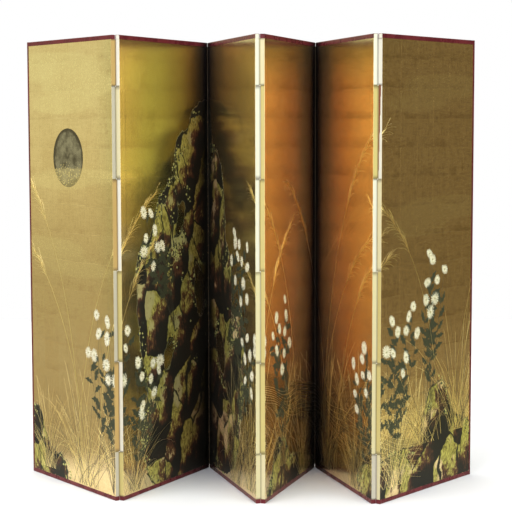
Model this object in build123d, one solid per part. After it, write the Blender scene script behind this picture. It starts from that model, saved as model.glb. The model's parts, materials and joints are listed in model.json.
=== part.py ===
"""A six-panel byobu, the Japanese folding screen.

Six tall panels stand in a zigzag. Each is a cedar lattice papered on both faces, with
lacquered rails along its top and bottom, and a lacquered stile on the two outermost edges.
Paper hinges join the panels: six straps to a fold, each running from one face of a panel,
round its edge, to the opposite face of its neighbour, and alternating from strap to strap.

Millimetres, +Z up, with the painted faces towards -Y. The origin is on the floor, in the
middle of the footprint.
"""

import os
from dataclasses import dataclass

from build123d import *

os.makedirs("parts", exist_ok=True)

# ---- Driving dimensions -------------------------------------------------------------------

PANEL_WIDTH = 630.0
PANEL_HEIGHT = 1720.0

# How each panel stands: the angle from +X of its line from left edge to right edge.
PANEL_ANGLES = (-53.0, 61.5, -72.5, 71.0, -73.0, 50.5)

# Papers
SHEET_THICK = 0.4  # the painted front paper, and the back paper
STRAP_THICK = 0.6  # one hinge strap, several plies of tough paper
EDGE_PAPER_THICK = 0.3  # silvery paper on the panel's edges
STRAP_TAIL = 36.0  # how far a strap is pasted in from the edge
STRAP_SLIT = 2.0  # the slit between one strap and the next
WHOLE_STRAPS = 4  # whole straps in a fold, with half a strap above and below them

# Lattice core, all in cedar
CORE_DEPTH = 15.0
CORE_STILE_WIDTH = 21.0
CORE_RAIL_HEIGHT = 21.0
SLAT_WIDTH = 10.0
UPRIGHT_SLATS = 3
LEVEL_SLATS = 8
HOUSING_DEPTH = 6.0  # how far a slat's end is let into the frame
TENON_THICK = 5.0
TENON_LENGTH = 12.0

# Lacquered rails and stiles
RAIL_HEIGHT = 16.0
STILE_WIDTH = 12.0
LACQUER_PROUD = 0.6  # how far they stand out past the papers, to keep the faces apart
OUTER_ROUND = 2.5  # radius of the edges that a hand meets

# Square nails that hold the lacquered pieces to the core
NAIL_WIDTH = 2.6
NAIL_IN_LACQUER = 8.0
NAIL_IN_CORE = 13.0
NAIL_INSET = 90.0  # from a panel's edge, or from its top and bottom, to the first nail
RAIL_NAILS = 2
STILE_NAILS = 4

# Running room at a fold
CLOSED_GAP = 0.8  # between two lacquered rails when the panels lie face to face
FLAT_GAP = 0.4  # between two edges when the panels are opened flat
CREASE_GAP = 0.3  # between the two halves of a strap at its crease, in the closed screen

# ---- Worked out from them -----------------------------------------------------------------

# The underlay papers are built up until they lie flush with the hinge straps in them.
UNDERLAY_THICK = STRAP_THICK
CORE_FRONT = SHEET_THICK + UNDERLAY_THICK
CORE_BACK = CORE_FRONT + CORE_DEPTH
PANEL_THICK = CORE_BACK + UNDERLAY_THICK + SHEET_THICK

PAPER_BOTTOM = RAIL_HEIGHT
PAPER_TOP = PANEL_HEIGHT - RAIL_HEIGHT
PAPER_HEIGHT = PAPER_TOP - PAPER_BOTTOM

# A fold turns about a line this far outside the panels' faces and edges.
PIVOT_BEYOND_FACE = LACQUER_PROUD + CLOSED_GAP / 2
PIVOT_BEYOND_EDGE = FLAT_GAP / 2

LEFT, RIGHT = "left", "right"
FRONT, BACK = "front", "back"


@dataclass(frozen=True)
class Fold:
    """A fold between panel `number` and the next one.

    pivot_face is the face whose corners meet at the fold: the back when the fold points
    towards the painted side, the front when it points away. first_wraps says whether the
    topmost strap goes round the edge of the panel on the fold's left or on its right.
    """

    number: int
    pivot_face: str
    first_wraps: str

    @property
    def wrap_face(self):
        """The face on which a strap starts before it goes round the edge."""
        return FRONT if self.pivot_face == BACK else BACK

    def tail_face(self, strap, side):
        """The face under whose paper a strap ends on the panel whose edge on that side folds.

        Straps are counted from the top. The panel on the fold's left folds at its right edge.
        """
        panel_stands = LEFT if side == RIGHT else RIGHT
        first_starts_here = self.first_wraps == panel_stands
        starts_here = first_starts_here if strap % 2 == 0 else not first_starts_here
        return self.wrap_face if starts_here else self.pivot_face


FOLDS = (
    Fold(1, BACK, LEFT),
    Fold(2, FRONT, RIGHT),
    Fold(3, BACK, RIGHT),
    Fold(4, FRONT, LEFT),
    Fold(5, BACK, RIGHT),
)


@dataclass(frozen=True)
class Panel:
    """One panel, with the fold at each of its edges, or None where a stile closes it."""

    number: int
    angle: float
    left_fold: Fold = None
    right_fold: Fold = None

    def fold(self, side):
        return self.left_fold if side == LEFT else self.right_fold

    def folded_sides(self):
        return [side for side in (LEFT, RIGHT) if self.fold(side)]

    def stile_sides(self):
        return [side for side in (LEFT, RIGHT) if not self.fold(side)]

    def core_inset(self, side):
        """From the panel's edge in to the lattice core."""
        return STRAP_THICK + EDGE_PAPER_THICK if self.fold(side) else STILE_WIDTH

    def underlay_inset(self, side):
        return STRAP_THICK if self.fold(side) else STILE_WIDTH

    def sheet_inset(self, side, face):
        """The outer paper runs out over the straps on the face where they start."""
        fold = self.fold(side)
        if not fold:
            return STILE_WIDTH
        return 0.0 if fold.wrap_face == face else STRAP_THICK

    def rail_inset(self, side):
        return 0.0 if self.fold(side) else STILE_WIDTH


def make_panels():
    """The six panels, left to right, each sharing a fold with its neighbour."""
    folds = (None, *FOLDS, None)
    return [
        Panel(index + 1, angle, folds[index], folds[index + 1])
        for index, angle in enumerate(PANEL_ANGLES)
    ]


PANELS = make_panels()

# ---- Shapes in a panel's own frame --------------------------------------------------------
# x runs from the left edge to the right edge, y from the front face to the back face.


def block(x, y, z):
    """A box that fills three (low, high) spans."""
    size = [high - low for low, high in (x, y, z)]
    middle = [(high + low) / 2 for low, high in (x, y, z)]
    return Pos(*middle) * Box(*size)


def inward(side, start, end):
    """The x span that lies from start to end inside the panel's left or right edge."""
    if side == LEFT:
        return start, end
    return PANEL_WIDTH - end, PANEL_WIDTH - start


def width_between(left_inset, right_inset):
    return left_inset, PANEL_WIDTH - right_inset


def face_layer(face, depth, thick):
    """The y span of a paper that lies `depth` under a face of the panel."""
    if face == FRONT:
        return depth, depth + thick
    return PANEL_THICK - depth - thick, PANEL_THICK - depth


def even_places(low, high, count):
    """The middles of `count` bars that divide a span evenly."""
    step = (high - low) / (count + 1)
    return [low + step * (index + 1) for index in range(count)]


def spread(low, high, count):
    """`count` places from low to high, both ends included."""
    step = (high - low) / (count - 1)
    return [low + step * index for index in range(count)]


def about(middle, width):
    return middle - width / 2, middle + width / 2


def all_together(solids):
    """Separate solids as one group."""
    return Compound(children=list(solids))


# ---- Nails --------------------------------------------------------------------------------


def rail_nails(panel):
    """Upright nails through the core's rails into the lacquered top and bottom rails."""
    low, high = width_between(panel.core_inset(LEFT), panel.core_inset(RIGHT))
    y = about(PANEL_THICK / 2, NAIL_WIDTH)
    nails = []
    for x in spread(low + NAIL_INSET, high - NAIL_INSET, RAIL_NAILS):
        across = about(x, NAIL_WIDTH)
        nails.append(block(across, y, (PAPER_TOP - NAIL_IN_CORE, PAPER_TOP + NAIL_IN_LACQUER)))
        nails.append(block(across, y, (PAPER_BOTTOM - NAIL_IN_LACQUER, PAPER_BOTTOM + NAIL_IN_CORE)))
    return nails


def stile_nails(side):
    """Level nails through the core's stile into the lacquered stile beside it."""
    y = about(PANEL_THICK / 2, NAIL_WIDTH)
    x = inward(side, STILE_WIDTH - NAIL_IN_LACQUER, STILE_WIDTH + NAIL_IN_CORE)
    heights = spread(PAPER_BOTTOM + NAIL_INSET, PAPER_TOP - NAIL_INSET, STILE_NAILS)
    return [block(x, y, about(z, NAIL_WIDTH)) for z in heights]


def nails(panel):
    found = rail_nails(panel)
    for side in panel.stile_sides():
        found += stile_nails(side)
    return found


def drilled(solid, nail_set):
    """A solid with the nails' holes in it."""
    for nail in nail_set:
        solid = solid - nail
    return solid


# ---- Lattice core -------------------------------------------------------------------------


def slat_places(panel):
    """The middles of the upright slats in x, and of the level slats in z."""
    low, high = width_between(panel.core_inset(LEFT), panel.core_inset(RIGHT))
    uprights = even_places(low + CORE_STILE_WIDTH, high - CORE_STILE_WIDTH, UPRIGHT_SLATS)
    bottom, top = PAPER_BOTTOM + CORE_RAIL_HEIGHT, PAPER_TOP - CORE_RAIL_HEIGHT
    return uprights, even_places(bottom, top, LEVEL_SLATS)


def core_stile(panel, side, levels):
    """An upright of the core's frame, housed for the level slats and slotted for the rails."""
    inset = panel.core_inset(side)
    inner = inset + CORE_STILE_WIDTH
    depth = (CORE_FRONT, CORE_BACK)
    stile = block(inward(side, inset, inner), depth, (PAPER_BOTTOM, PAPER_TOP))
    housing = inward(side, inner - HOUSING_DEPTH, inner)
    for z in levels:
        stile = stile - block(housing, depth, about(z, SLAT_WIDTH))
    slot = inward(side, inner - TENON_LENGTH, inner)
    thick = about(PANEL_THICK / 2, TENON_THICK)
    stile = stile - block(slot, thick, (PAPER_BOTTOM, PAPER_BOTTOM + CORE_RAIL_HEIGHT))
    return stile - block(slot, thick, (PAPER_TOP - CORE_RAIL_HEIGHT, PAPER_TOP))


def core_rail(panel, low, high, housed_side, uprights):
    """A level member of the core's frame, with a tenon at each end.

    low and high are its span in z, and housed_side is the one of them that the upright
    slats are let into.
    """
    left, right = width_between(panel.core_inset(LEFT), panel.core_inset(RIGHT))
    shoulders = (left + CORE_STILE_WIDTH, right - CORE_STILE_WIDTH)
    tenons = (shoulders[0] - TENON_LENGTH, shoulders[1] + TENON_LENGTH)
    depth = (CORE_FRONT, CORE_BACK)
    rail = block(shoulders, depth, (low, high))
    rail = rail + block(tenons, about(PANEL_THICK / 2, TENON_THICK), (low, high))
    if housed_side == high:
        housing = (high - HOUSING_DEPTH, high)
    else:
        housing = (low, low + HOUSING_DEPTH)
    for x in uprights:
        rail = rail - block(about(x, SLAT_WIDTH), depth, housing)
    return rail


def upright_slat(x, levels):
    """An upright slat, notched from behind at each level slat for half its depth."""
    bottom = PAPER_BOTTOM + CORE_RAIL_HEIGHT - HOUSING_DEPTH
    top = PAPER_TOP - CORE_RAIL_HEIGHT + HOUSING_DEPTH
    slat = block(about(x, SLAT_WIDTH), (CORE_FRONT, CORE_BACK), (bottom, top))
    for z in levels:
        notch = (CORE_FRONT + CORE_DEPTH / 2, CORE_BACK)
        slat = slat - block(about(x, SLAT_WIDTH), notch, about(z, SLAT_WIDTH))
    return slat


def level_slat(panel, z, uprights):
    """A level slat, notched from the front at each upright slat for half its depth."""
    left, right = width_between(panel.core_inset(LEFT), panel.core_inset(RIGHT))
    left = left + CORE_STILE_WIDTH - HOUSING_DEPTH
    right = right - CORE_STILE_WIDTH + HOUSING_DEPTH
    slat = block((left, right), (CORE_FRONT, CORE_BACK), about(z, SLAT_WIDTH))
    for x in uprights:
        notch = (CORE_FRONT, CORE_FRONT + CORE_DEPTH / 2)
        slat = slat - block(about(x, SLAT_WIDTH), notch, about(z, SLAT_WIDTH))
    return slat


def lattice(panel):
    """The core: two stiles, two rails, and the half-lapped slats between them."""
    uprights, levels = slat_places(panel)
    nail_set = nails(panel)
    bottom = (PAPER_BOTTOM, PAPER_BOTTOM + CORE_RAIL_HEIGHT)
    top = (PAPER_TOP - CORE_RAIL_HEIGHT, PAPER_TOP)
    pieces = []
    for side in (LEFT, RIGHT):
        stile = core_stile(panel, side, levels)
        pieces.append(stile if panel.fold(side) else drilled(stile, stile_nails(side)))
    pieces.append(drilled(core_rail(panel, *bottom, bottom[1], uprights), rail_nails(panel)))
    pieces.append(drilled(core_rail(panel, *top, top[0], uprights), rail_nails(panel)))
    pieces += [drilled(upright_slat(x, levels), nail_set) for x in uprights]
    pieces += [level_slat(panel, z, uprights) for z in levels]
    return pieces


# ---- Hinge straps -------------------------------------------------------------------------


def strap_spans():
    """The height of each strap, from the top down: a half one, the whole ones, a half one."""
    whole = PAPER_HEIGHT / (WHOLE_STRAPS + 1)
    heights = [whole / 2] + [whole] * WHOLE_STRAPS + [whole / 2]
    spans = []
    top = PAPER_TOP
    for index, height in enumerate(heights):
        upper = top if index == 0 else top - STRAP_SLIT / 2
        top = top - height
        lower = top if index == len(heights) - 1 else top + STRAP_SLIT / 2
        spans.append((lower, upper))
    return spans


def strap_half(fold, side, tail_face, span):
    """One half of a strap: its tail, pasted under a paper, and the rest up to its crease.

    With its tail on the face where the strap starts, this half goes round the panel's edge.
    With its tail on the face where the panels meet, it is the far end of the neighbour's.
    """
    tail = face_layer(tail_face, SHEET_THICK, UNDERLAY_THICK)
    crease = PIVOT_BEYOND_FACE - CREASE_GAP / 2
    if fold.pivot_face == BACK:
        to_crease = (tail[0], PANEL_THICK + crease)
    else:
        to_crease = (-crease, tail[1])
    at_edge = block(inward(side, 0.0, STRAP_THICK), to_crease, span)
    return at_edge + block(inward(side, 0.0, STRAP_TAIL), tail, span)


def straps(panel, side):
    """What this panel carries of the straps at one of its folds."""
    fold = panel.fold(side)
    pieces = []
    for index, span in enumerate(strap_spans()):
        pieces.append(strap_half(fold, side, fold.tail_face(index, side), span))
    return pieces


# ---- Papers -------------------------------------------------------------------------------


def underlay(panel, face):
    """The built-up papers on one face of the lattice, cut away where the straps are pasted."""
    layer = face_layer(face, SHEET_THICK, UNDERLAY_THICK)
    across = width_between(panel.underlay_inset(LEFT), panel.underlay_inset(RIGHT))
    sheet = block(across, layer, (PAPER_BOTTOM, PAPER_TOP))
    for side in panel.folded_sides():
        fold = panel.fold(side)
        for index, span in enumerate(strap_spans()):
            if fold.tail_face(index, side) == face:
                sheet = sheet - block(inward(side, 0.0, STRAP_TAIL), layer, span)
    return sheet


def outer_paper(panel, face):
    """The paper that shows: painted on the front, plain on the back."""
    across = width_between(panel.sheet_inset(LEFT, face), panel.sheet_inset(RIGHT, face))
    return block(across, face_layer(face, 0.0, SHEET_THICK), (PAPER_BOTTOM, PAPER_TOP))


def edge_papers(panel):
    """Thin paper over the bare wood of each folded edge."""
    across = (STRAP_THICK, STRAP_THICK + EDGE_PAPER_THICK)
    depth = (CORE_FRONT, CORE_BACK)
    return [
        block(inward(side, *across), depth, (PAPER_BOTTOM, PAPER_TOP))
        for side in panel.folded_sides()
    ]


# ---- Lacquered rails and stiles -----------------------------------------------------------


def lacquer_profile(width, depth):
    """A bar's section, `width` from the papers out to its outer edge, and round out there.

    It is drawn with the papers' side at the bottom and the outer side at the top.
    """
    section = Rectangle(width=depth, height=width)
    return fillet(section.vertices().group_by(Axis.Y)[-1], OUTER_ROUND)


def lacquered_rail(panel, top):
    """A rail along the top or the bottom of a panel, flush with the edges at its folds."""
    left, right = width_between(panel.rail_inset(LEFT), panel.rail_inset(RIGHT))
    section = lacquer_profile(RAIL_HEIGHT, PANEL_THICK + 2 * LACQUER_PROUD)
    middle = PANEL_HEIGHT - RAIL_HEIGHT / 2 if top else RAIL_HEIGHT / 2
    upward = 1 if top else -1
    plane = Plane((left, PANEL_THICK / 2, middle), x_dir=(0, upward, 0), z_dir=(1, 0, 0))
    rail = extrude(plane * section, right - left)
    return drilled(rail, rail_nails(panel))


def lacquered_stile(side):
    """The stile on an outermost edge, running the panel's full height past the rails."""
    section = lacquer_profile(STILE_WIDTH, PANEL_THICK + 2 * LACQUER_PROUD)
    low, high = inward(side, 0.0, STILE_WIDTH)
    outward = -1 if side == LEFT else 1
    plane = Plane(((low + high) / 2, PANEL_THICK / 2, 0), x_dir=(0, -outward, 0), z_dir=(0, 0, 1))
    stile = extrude(plane * section, PANEL_HEIGHT)
    return drilled(stile, stile_nails(side))


# ---- Standing the panels up ---------------------------------------------------------------


def turned(point, angle):
    """A point in a panel's own frame, turned to the panel's angle."""
    return Vector(*point, 0).rotate(Axis.Z, angle)


def pivot_in_panel(fold, side):
    """Where a fold's turning line passes, in the frame of the panel on its given side."""
    x = -PIVOT_BEYOND_EDGE if side == LEFT else PANEL_WIDTH + PIVOT_BEYOND_EDGE
    y = PANEL_THICK + PIVOT_BEYOND_FACE if fold.pivot_face == BACK else -PIVOT_BEYOND_FACE
    return x, y


def stand_in_a_row():
    """Each panel's corner and each fold's line, from the first panel on."""
    corners = [Vector(0, 0)]
    pivots = []
    for panel, following in zip(PANELS, PANELS[1:]):
        fold = panel.right_fold
        pivot = corners[-1] + turned(pivot_in_panel(fold, RIGHT), panel.angle)
        pivots.append(pivot)
        corners.append(pivot - turned(pivot_in_panel(fold, LEFT), following.angle))
    return corners, pivots


def footprint(corners):
    """Lowest and highest x and y that the panels' rails and stiles reach."""
    reach = []
    for panel, corner in zip(PANELS, corners):
        for x in (0.0, PANEL_WIDTH):
            for y in (-LACQUER_PROUD, PANEL_THICK + LACQUER_PROUD):
                reach.append(corner + turned((x, y), panel.angle))
    xs = [point.X for point in reach]
    ys = [point.Y for point in reach]
    return min(xs), max(xs), min(ys), max(ys)


def stand_panels():
    """Each panel's place, and each fold's turning line, about the middle of the footprint."""
    corners, pivots = stand_in_a_row()
    x_low, x_high, y_low, y_high = footprint(corners)
    middle = Vector((x_low + x_high) / 2, (y_low + y_high) / 2)
    places = [
        Location(corner - middle, (0, 0, panel.angle)) for panel, corner in zip(PANELS, corners)
    ]
    return places, [pivot - middle for pivot in pivots]


PLACES, PIVOTS = stand_panels()

# ---- Nodes --------------------------------------------------------------------------------


def panel_nodes(panel):
    """Every node of one panel in the panel's own frame, by name."""
    name = f"panel_{panel.number}"
    nodes = {
        f"{name}_lattice": lattice(panel),
        f"{name}_underlay": [underlay(panel, FRONT), underlay(panel, BACK)],
        f"{name}_front_paper": [outer_paper(panel, FRONT)],
        f"{name}_back_paper": [outer_paper(panel, BACK)],
        f"{name}_edge_paper": edge_papers(panel),
        f"{name}_top_rail": [lacquered_rail(panel, top=True)],
        f"{name}_bottom_rail": [lacquered_rail(panel, top=False)],
        f"{name}_nails": nails(panel),
    }
    for side in panel.folded_sides():
        nodes[f"fold_{panel.fold(side).number}_straps_on_panel_{panel.number}"] = straps(panel, side)
    for side in panel.stile_sides():
        nodes[f"{side}_stile"] = [lacquered_stile(side)]
    return nodes


def build():
    """Writes one STEP file for each node."""
    for panel, place in zip(PANELS, PLACES):
        for name, solids in panel_nodes(panel).items():
            group = [place * solid for solid in solids]
            shape = group[0] if len(group) == 1 else all_together(group)
            export_step(shape, f"parts/{name}.step")


build()
for fold, pivot in zip(FOLDS, PIVOTS):
    print(f"fold {fold.number} turns about x {pivot.X:.3f}, y {pivot.Y:.3f}")
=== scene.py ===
"""A six-panel folding screen: gilt painted papers, lacquered rails and paper hinge straps.

All lengths are metres. A panel's own axes run along it from left to right, back from its
painted face, and up. The painting is laid out on one flat canvas, u along all six panels and
v up, as if the screen were opened flat, and each panel carries its own part of it.
"""

import json
import logging
import math
from dataclasses import dataclass, field
from enum import Enum
from functools import cache, partialmethod
from typing import Any, Callable, Sequence

import bmesh
import bpy
import numpy as np
from mathutils import Euler, Matrix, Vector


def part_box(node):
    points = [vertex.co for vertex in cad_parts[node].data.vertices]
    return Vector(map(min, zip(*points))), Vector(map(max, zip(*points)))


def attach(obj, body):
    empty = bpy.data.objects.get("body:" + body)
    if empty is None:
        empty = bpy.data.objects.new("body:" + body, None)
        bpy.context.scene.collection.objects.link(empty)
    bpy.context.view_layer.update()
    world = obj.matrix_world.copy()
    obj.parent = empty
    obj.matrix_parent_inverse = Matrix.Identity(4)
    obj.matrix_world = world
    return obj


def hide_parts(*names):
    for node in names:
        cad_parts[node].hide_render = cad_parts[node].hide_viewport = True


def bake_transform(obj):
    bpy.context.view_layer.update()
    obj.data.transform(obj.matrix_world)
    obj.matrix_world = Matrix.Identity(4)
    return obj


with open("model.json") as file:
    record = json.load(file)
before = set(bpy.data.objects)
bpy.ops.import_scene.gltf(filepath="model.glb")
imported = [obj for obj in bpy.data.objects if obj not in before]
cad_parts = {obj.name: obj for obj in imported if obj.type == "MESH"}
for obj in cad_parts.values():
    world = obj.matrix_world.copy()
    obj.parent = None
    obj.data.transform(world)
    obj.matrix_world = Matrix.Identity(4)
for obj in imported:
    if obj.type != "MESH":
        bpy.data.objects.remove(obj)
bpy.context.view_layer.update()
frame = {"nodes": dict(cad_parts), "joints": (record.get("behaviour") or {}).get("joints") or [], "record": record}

logging.basicConfig(level=logging.INFO, format="%(levelname)s %(name)s: %(message)s")
log = logging.getLogger("folding_screen")

MM = 0.001
PANELS = 6
SEED = 1853
GOLDEN_ANGLE = 2.39996

Array = np.ndarray
Colour = tuple[float, float, float]
Socket = bpy.types.NodeSocket
Sockets = dict[str, Any]
Stored = dict[str, Array]


# ---- Shader graphs ----


class Graph:
    """A node tree being drawn: each method adds one node and returns its output socket."""

    def __init__(self, tree: bpy.types.NodeTree) -> None:
        """Starts on an empty tree."""
        self.tree = tree
        tree.nodes.clear()

    def node(self, kind: str, sockets: dict[Any, Any] | None = None, **settings: Any) -> bpy.types.Node:
        """Adds a node, sets its options, and fills its sockets with values or links.

        Args:
            kind: The node's type without its leading words, such as TexNoise.
            sockets: Input names or numbers, each with an output socket or a value. A colour may
                leave out its alpha.
            settings: The node's own options.

        Returns:
            The new node.
        """
        prefix = "" if kind.startswith("NodeGroup") else "ShaderNode"
        made = self.tree.nodes.new(prefix + kind)
        for name, value in settings.items():
            setattr(made, name, value)
        for name, value in (sockets or {}).items():
            socket = made.inputs[name]
            if isinstance(value, bpy.types.NodeSocket):
                self.tree.links.new(value, socket)
            elif socket.type == "RGBA" and len(value) == 3:
                socket.default_value = (*value, 1.0)
            else:
                socket.default_value = value
        return made

    def math(self, operation: str, *values: Any) -> Socket:
        """One step of arithmetic on values or sockets."""
        return self.node("Math", dict(enumerate(values)), operation=operation).outputs[0]

    times = partialmethod(math, "MULTIPLY")
    plus = partialmethod(math, "ADD")
    minus = partialmethod(math, "SUBTRACT")
    times_plus = partialmethod(math, "MULTIPLY_ADD")
    greatest = partialmethod(math, "MAXIMUM")

    def vector(self, operation: str, *values: Any) -> Socket:
        """One step of arithmetic on vectors."""
        return self.node("VectorMath", dict(enumerate(values)), operation=operation).outputs[0]

    def noise(self, place: Socket, scale: float, detail: float = 3.0, rough: float = 0.55) -> Socket:
        """Cloudy noise from 0 to 1, with its middle near a half."""
        sockets = {"Vector": place, "Scale": scale, "Detail": detail, "Roughness": rough}
        return self.node("TexNoise", sockets).outputs["Fac"]

    def stretched(self, place: Socket, scale: Sequence[float]) -> Socket:
        """The place with each of its axes scaled."""
        return self.vector("MULTIPLY", place, tuple(scale))

    def span(self, value: Any, low: Any, high: Any, to_low: Any = 0.0, to_high: Any = 1.0) -> Socket:
        """Eases a value from one span to another, and holds it at the ends."""
        sockets = {"Value": value, "From Min": low, "From Max": high, "To Min": to_low, "To Max": to_high}
        return self.node("MapRange", sockets, interpolation_type="SMOOTHSTEP").outputs[0]

    def mix(self, factor: Any, first: Any, second: Any, blend: str = "MIX") -> Socket:
        """Blends two colours."""
        return self.node("Mix", {0: factor, 6: first, 7: second}, data_type="RGBA", blend_type=blend,
                         clamp_factor=True).outputs[2]

    def mix_value(self, factor: Any, first: Any, second: Any) -> Socket:
        """Blends two numbers."""
        return self.node("Mix", {0: factor, 2: first, 3: second}, data_type="FLOAT",
                         clamp_factor=True).outputs[0]

    def enlarged(self, place: Socket, scale: Any) -> Socket:
        """The place scaled evenly."""
        return self.node("VectorMath", {0: place, "Scale": scale}, operation="SCALE").outputs[0]

    def dot(self, first: Any, second: Any) -> Socket:
        """The dot product of two vectors."""
        return self.node("VectorMath", {0: first, 1: second}, operation="DOT_PRODUCT").outputs["Value"]

    def split(self, place: Socket) -> tuple[Socket, Socket, Socket]:
        """The three parts of a vector."""
        made = self.node("SeparateXYZ", {0: place})
        return made.outputs[0], made.outputs[1], made.outputs[2]

    def attribute(self, name: str, kind: str = "Fac") -> Socket:
        """A value stored on the mesh."""
        return self.node("Attribute", attribute_name=name).outputs[kind]

    def effect(self, effect: "Effect", **sockets: Any) -> Sockets:
        """Places a shared effect and returns its outputs by name."""
        made = self.node("Group", sockets, node_tree=effects.get(effect))
        return {output.name: output for output in made.outputs}


class Effect(Enum):
    """The shader effects that several finishes share, each a node group built once."""

    LEAF = "leaf_squares"
    CLOUD = "cloud"
    FIBRE = "paper_fibre"
    BRUSHED = "brushed_edge"
    WORN = "worn_arris"
    # Dust on upward faces, its colour also a painted sheen there.
    DUST = "settled_dust"
    # Painted shade beside the folds that close on the painted face.
    SOOT = "soot_at_fold"


class EdgeTone(Enum):
    """Tones of straps and edge papers: aged ones, then painted shade in the inner folds, in the finish's mixing
    order.
    """

    SILVER = 0.0
    WHITE = 0.25
    CREAM = 0.5
    PALE_GOLD = 0.75
    TAN = 1.0
    # Near-black painted shade for the straps and edges inside the folds that close on the painted face.
    SOOT = 1.75


GroupParts = tuple[Graph, dict[str, Socket], Callable[[str, Socket], None]]


@dataclass
class EffectShelf:
    """Builds each shared effect the first time that a finish asks for it."""

    built: dict[Effect, bpy.types.NodeTree] = field(default_factory=dict)

    def get(self, effect: Effect) -> bpy.types.NodeTree:
        """The node group of that effect.

        Args:
            effect: The effect.

        Returns:
            Its node group, drawn the first time.
        """
        if effect not in self.built:
            getattr(self, "_" + effect.name.lower())()
        return self.built[effect]

    def _start(self, effect: Effect, *outputs: str, **inputs: float | None) -> GroupParts:
        """Starts an effect's node group, with named sockets.

        Args:
            effect: Which effect the group holds.
            outputs: The names of its outputs, all of them numbers.
            inputs: Each input's default, or None for one that takes a vector.

        Returns:
            Its graph, its inputs by name, and a function that fills one of its outputs.
        """
        tree = self.built[effect] = bpy.data.node_groups.new(effect.value, "ShaderNodeTree")
        for name, default in inputs.items():
            kind = "NodeSocketVector" if default is None else "NodeSocketFloat"
            socket = tree.interface.new_socket(name, in_out="INPUT", socket_type=kind)
            if default is not None:
                socket.default_value = default
        for name in outputs:
            tree.interface.new_socket(name, in_out="OUTPUT", socket_type="NodeSocketFloat")
        graph = Graph(tree)
        entry, ending = graph.node("NodeGroupInput"), graph.node("NodeGroupOutput")

        def give(name: str, value: Socket) -> None:
            """Fills the output of that name."""
            tree.links.new(value, ending.inputs[name])

        return graph, {socket.name: socket for socket in entry.outputs}, give

    def _leaf(self) -> None:
        """Squares of leaf: each cell of a square grid has its own tone and a lapped seam.

        A cell's tone is white noise of its whole-number place. The seam is where the part
        left over is within a lap's width of the cell's edge, with the grid drawn a little
        out of true by slow noise. Rubbed patches lie at the foot of each square.
        """
        graph, entry, give = self._start(Effect.LEAF, "Tone", "Seam", "Rubbed",
                                         Canvas=None, Size=0.109, Lap=0.02)
        waver = graph.node("TexNoise", {"Vector": entry["Canvas"], "Scale": 7.0, "Detail": 1.0})
        sway = graph.vector("SUBTRACT", waver.outputs["Color"], (0.5, 0.5, 0.5))
        place = graph.vector("ADD", entry["Canvas"], graph.vector("MULTIPLY", sway, (0.012, 0.012, 0.0)))
        square = graph.node("CombineXYZ", {0: entry["Size"], 1: entry["Size"], 2: 1.0}).outputs[0]
        across = graph.vector("DIVIDE", place, square)
        cell = graph.vector("FLOOR", graph.vector("MULTIPLY", across, (1.0, 1.0, 0.0)))
        give("Tone", graph.node("TexWhiteNoise", {"Vector": cell}, noise_dimensions="3D").outputs["Value"])
        u, v, _ = graph.split(graph.vector("FRACTION", across))
        edge = graph.math("MINIMUM", u, v)
        lap = graph.times(entry["Lap"], graph.noise(entry["Canvas"], 60.0, 2.0))
        give("Seam", graph.span(edge, lap, graph.times(lap, 2.2), 1.0, 0.0))
        patches = graph.noise(graph.stretched(entry["Canvas"], (11.0, 20.0, 1.0)), 1.0, 5.0, 0.66)
        foot = graph.span(v, 0.0, 0.46, 1.0, 0.0)
        give("Rubbed", graph.times(foot, graph.span(patches, 0.42, 0.60)))

    def _cloud(self) -> None:
        """Cloudy tone: slow noise, with finer noise drawn out along both directions."""
        graph, entry, give = self._start(Effect.CLOUD, "Tone", Vector=None, Scale=4.0, Streaks=0.5)
        place = graph.enlarged(entry["Vector"], entry["Scale"])
        slow = graph.noise(place, 1.0, 4.0)
        upright = graph.noise(graph.stretched(place, (9.0, 1.2, 5.0)), 1.0, 4.0, 0.65)
        level = graph.noise(graph.stretched(place, (1.2, 9.0, 5.0)), 1.0, 4.0, 0.65)
        streaks = graph.times(graph.plus(upright, level), 0.5)
        give("Tone", graph.mix_value(entry["Streaks"], slow, streaks))

    def _fibre(self) -> None:
        """Long fibres of mulberry paper: two noises drawn out across each other."""
        graph, entry, give = self._start(Effect.FIBRE, "Height", Vector=None, Scale=300.0)
        place = graph.enlarged(entry["Vector"], entry["Scale"])
        first = graph.noise(graph.stretched(place, (0.12, 1.0, 0.5)), 1.0, 3.0, 0.7)
        second = graph.noise(graph.stretched(place, (1.0, 0.2, 0.12)), 1.0, 3.0, 0.7)
        give("Height", graph.greatest(first, second))

    def _brushed(self) -> None:
        """A brushed area: a signed distance, frayed by noise, cut off at nought."""
        graph, entry, give = self._start(Effect.BRUSHED, "Mask", "Distance", Distance=1.0, Canvas=None,
                                         Fray=0.01, Scale=30.0, Soft=0.002)
        place = graph.enlarged(entry["Canvas"], entry["Scale"])
        fray = graph.minus(graph.noise(place, 1.0, 5.0, 0.62), 0.5)
        swing = graph.times(entry["Fray"], 2.0)
        frayed = graph.times_plus(fray, swing, entry["Distance"])
        inside = graph.times(entry["Soft"], -1.0)
        give("Mask", graph.span(frayed, inside, entry["Soft"], 1.0, 0.0))
        give("Distance", frayed)

    def _worn(self) -> None:
        """Wear on an arris: how far a rounded normal turns from the true one, broken by noise."""
        graph, entry, give = self._start(Effect.WORN, "Mask", Vector=None, Radius=0.002, Amount=0.5)
        rounded = graph.node("Bevel", {"Radius": entry["Radius"]}, samples=4).outputs[0]
        flat = graph.node("NewGeometry").outputs["True Normal"]
        arris = graph.span(graph.minus(1.0, graph.dot(rounded, flat)), 0.01, 0.16)
        rubbed = graph.noise(entry["Vector"], 34.0, 6.0, 0.7)
        level = graph.minus(1.0, entry["Amount"])
        broken = graph.span(rubbed, graph.times(level, 0.8), graph.plus(level, 0.12))
        give("Mask", graph.times(arris, broken))

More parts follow.
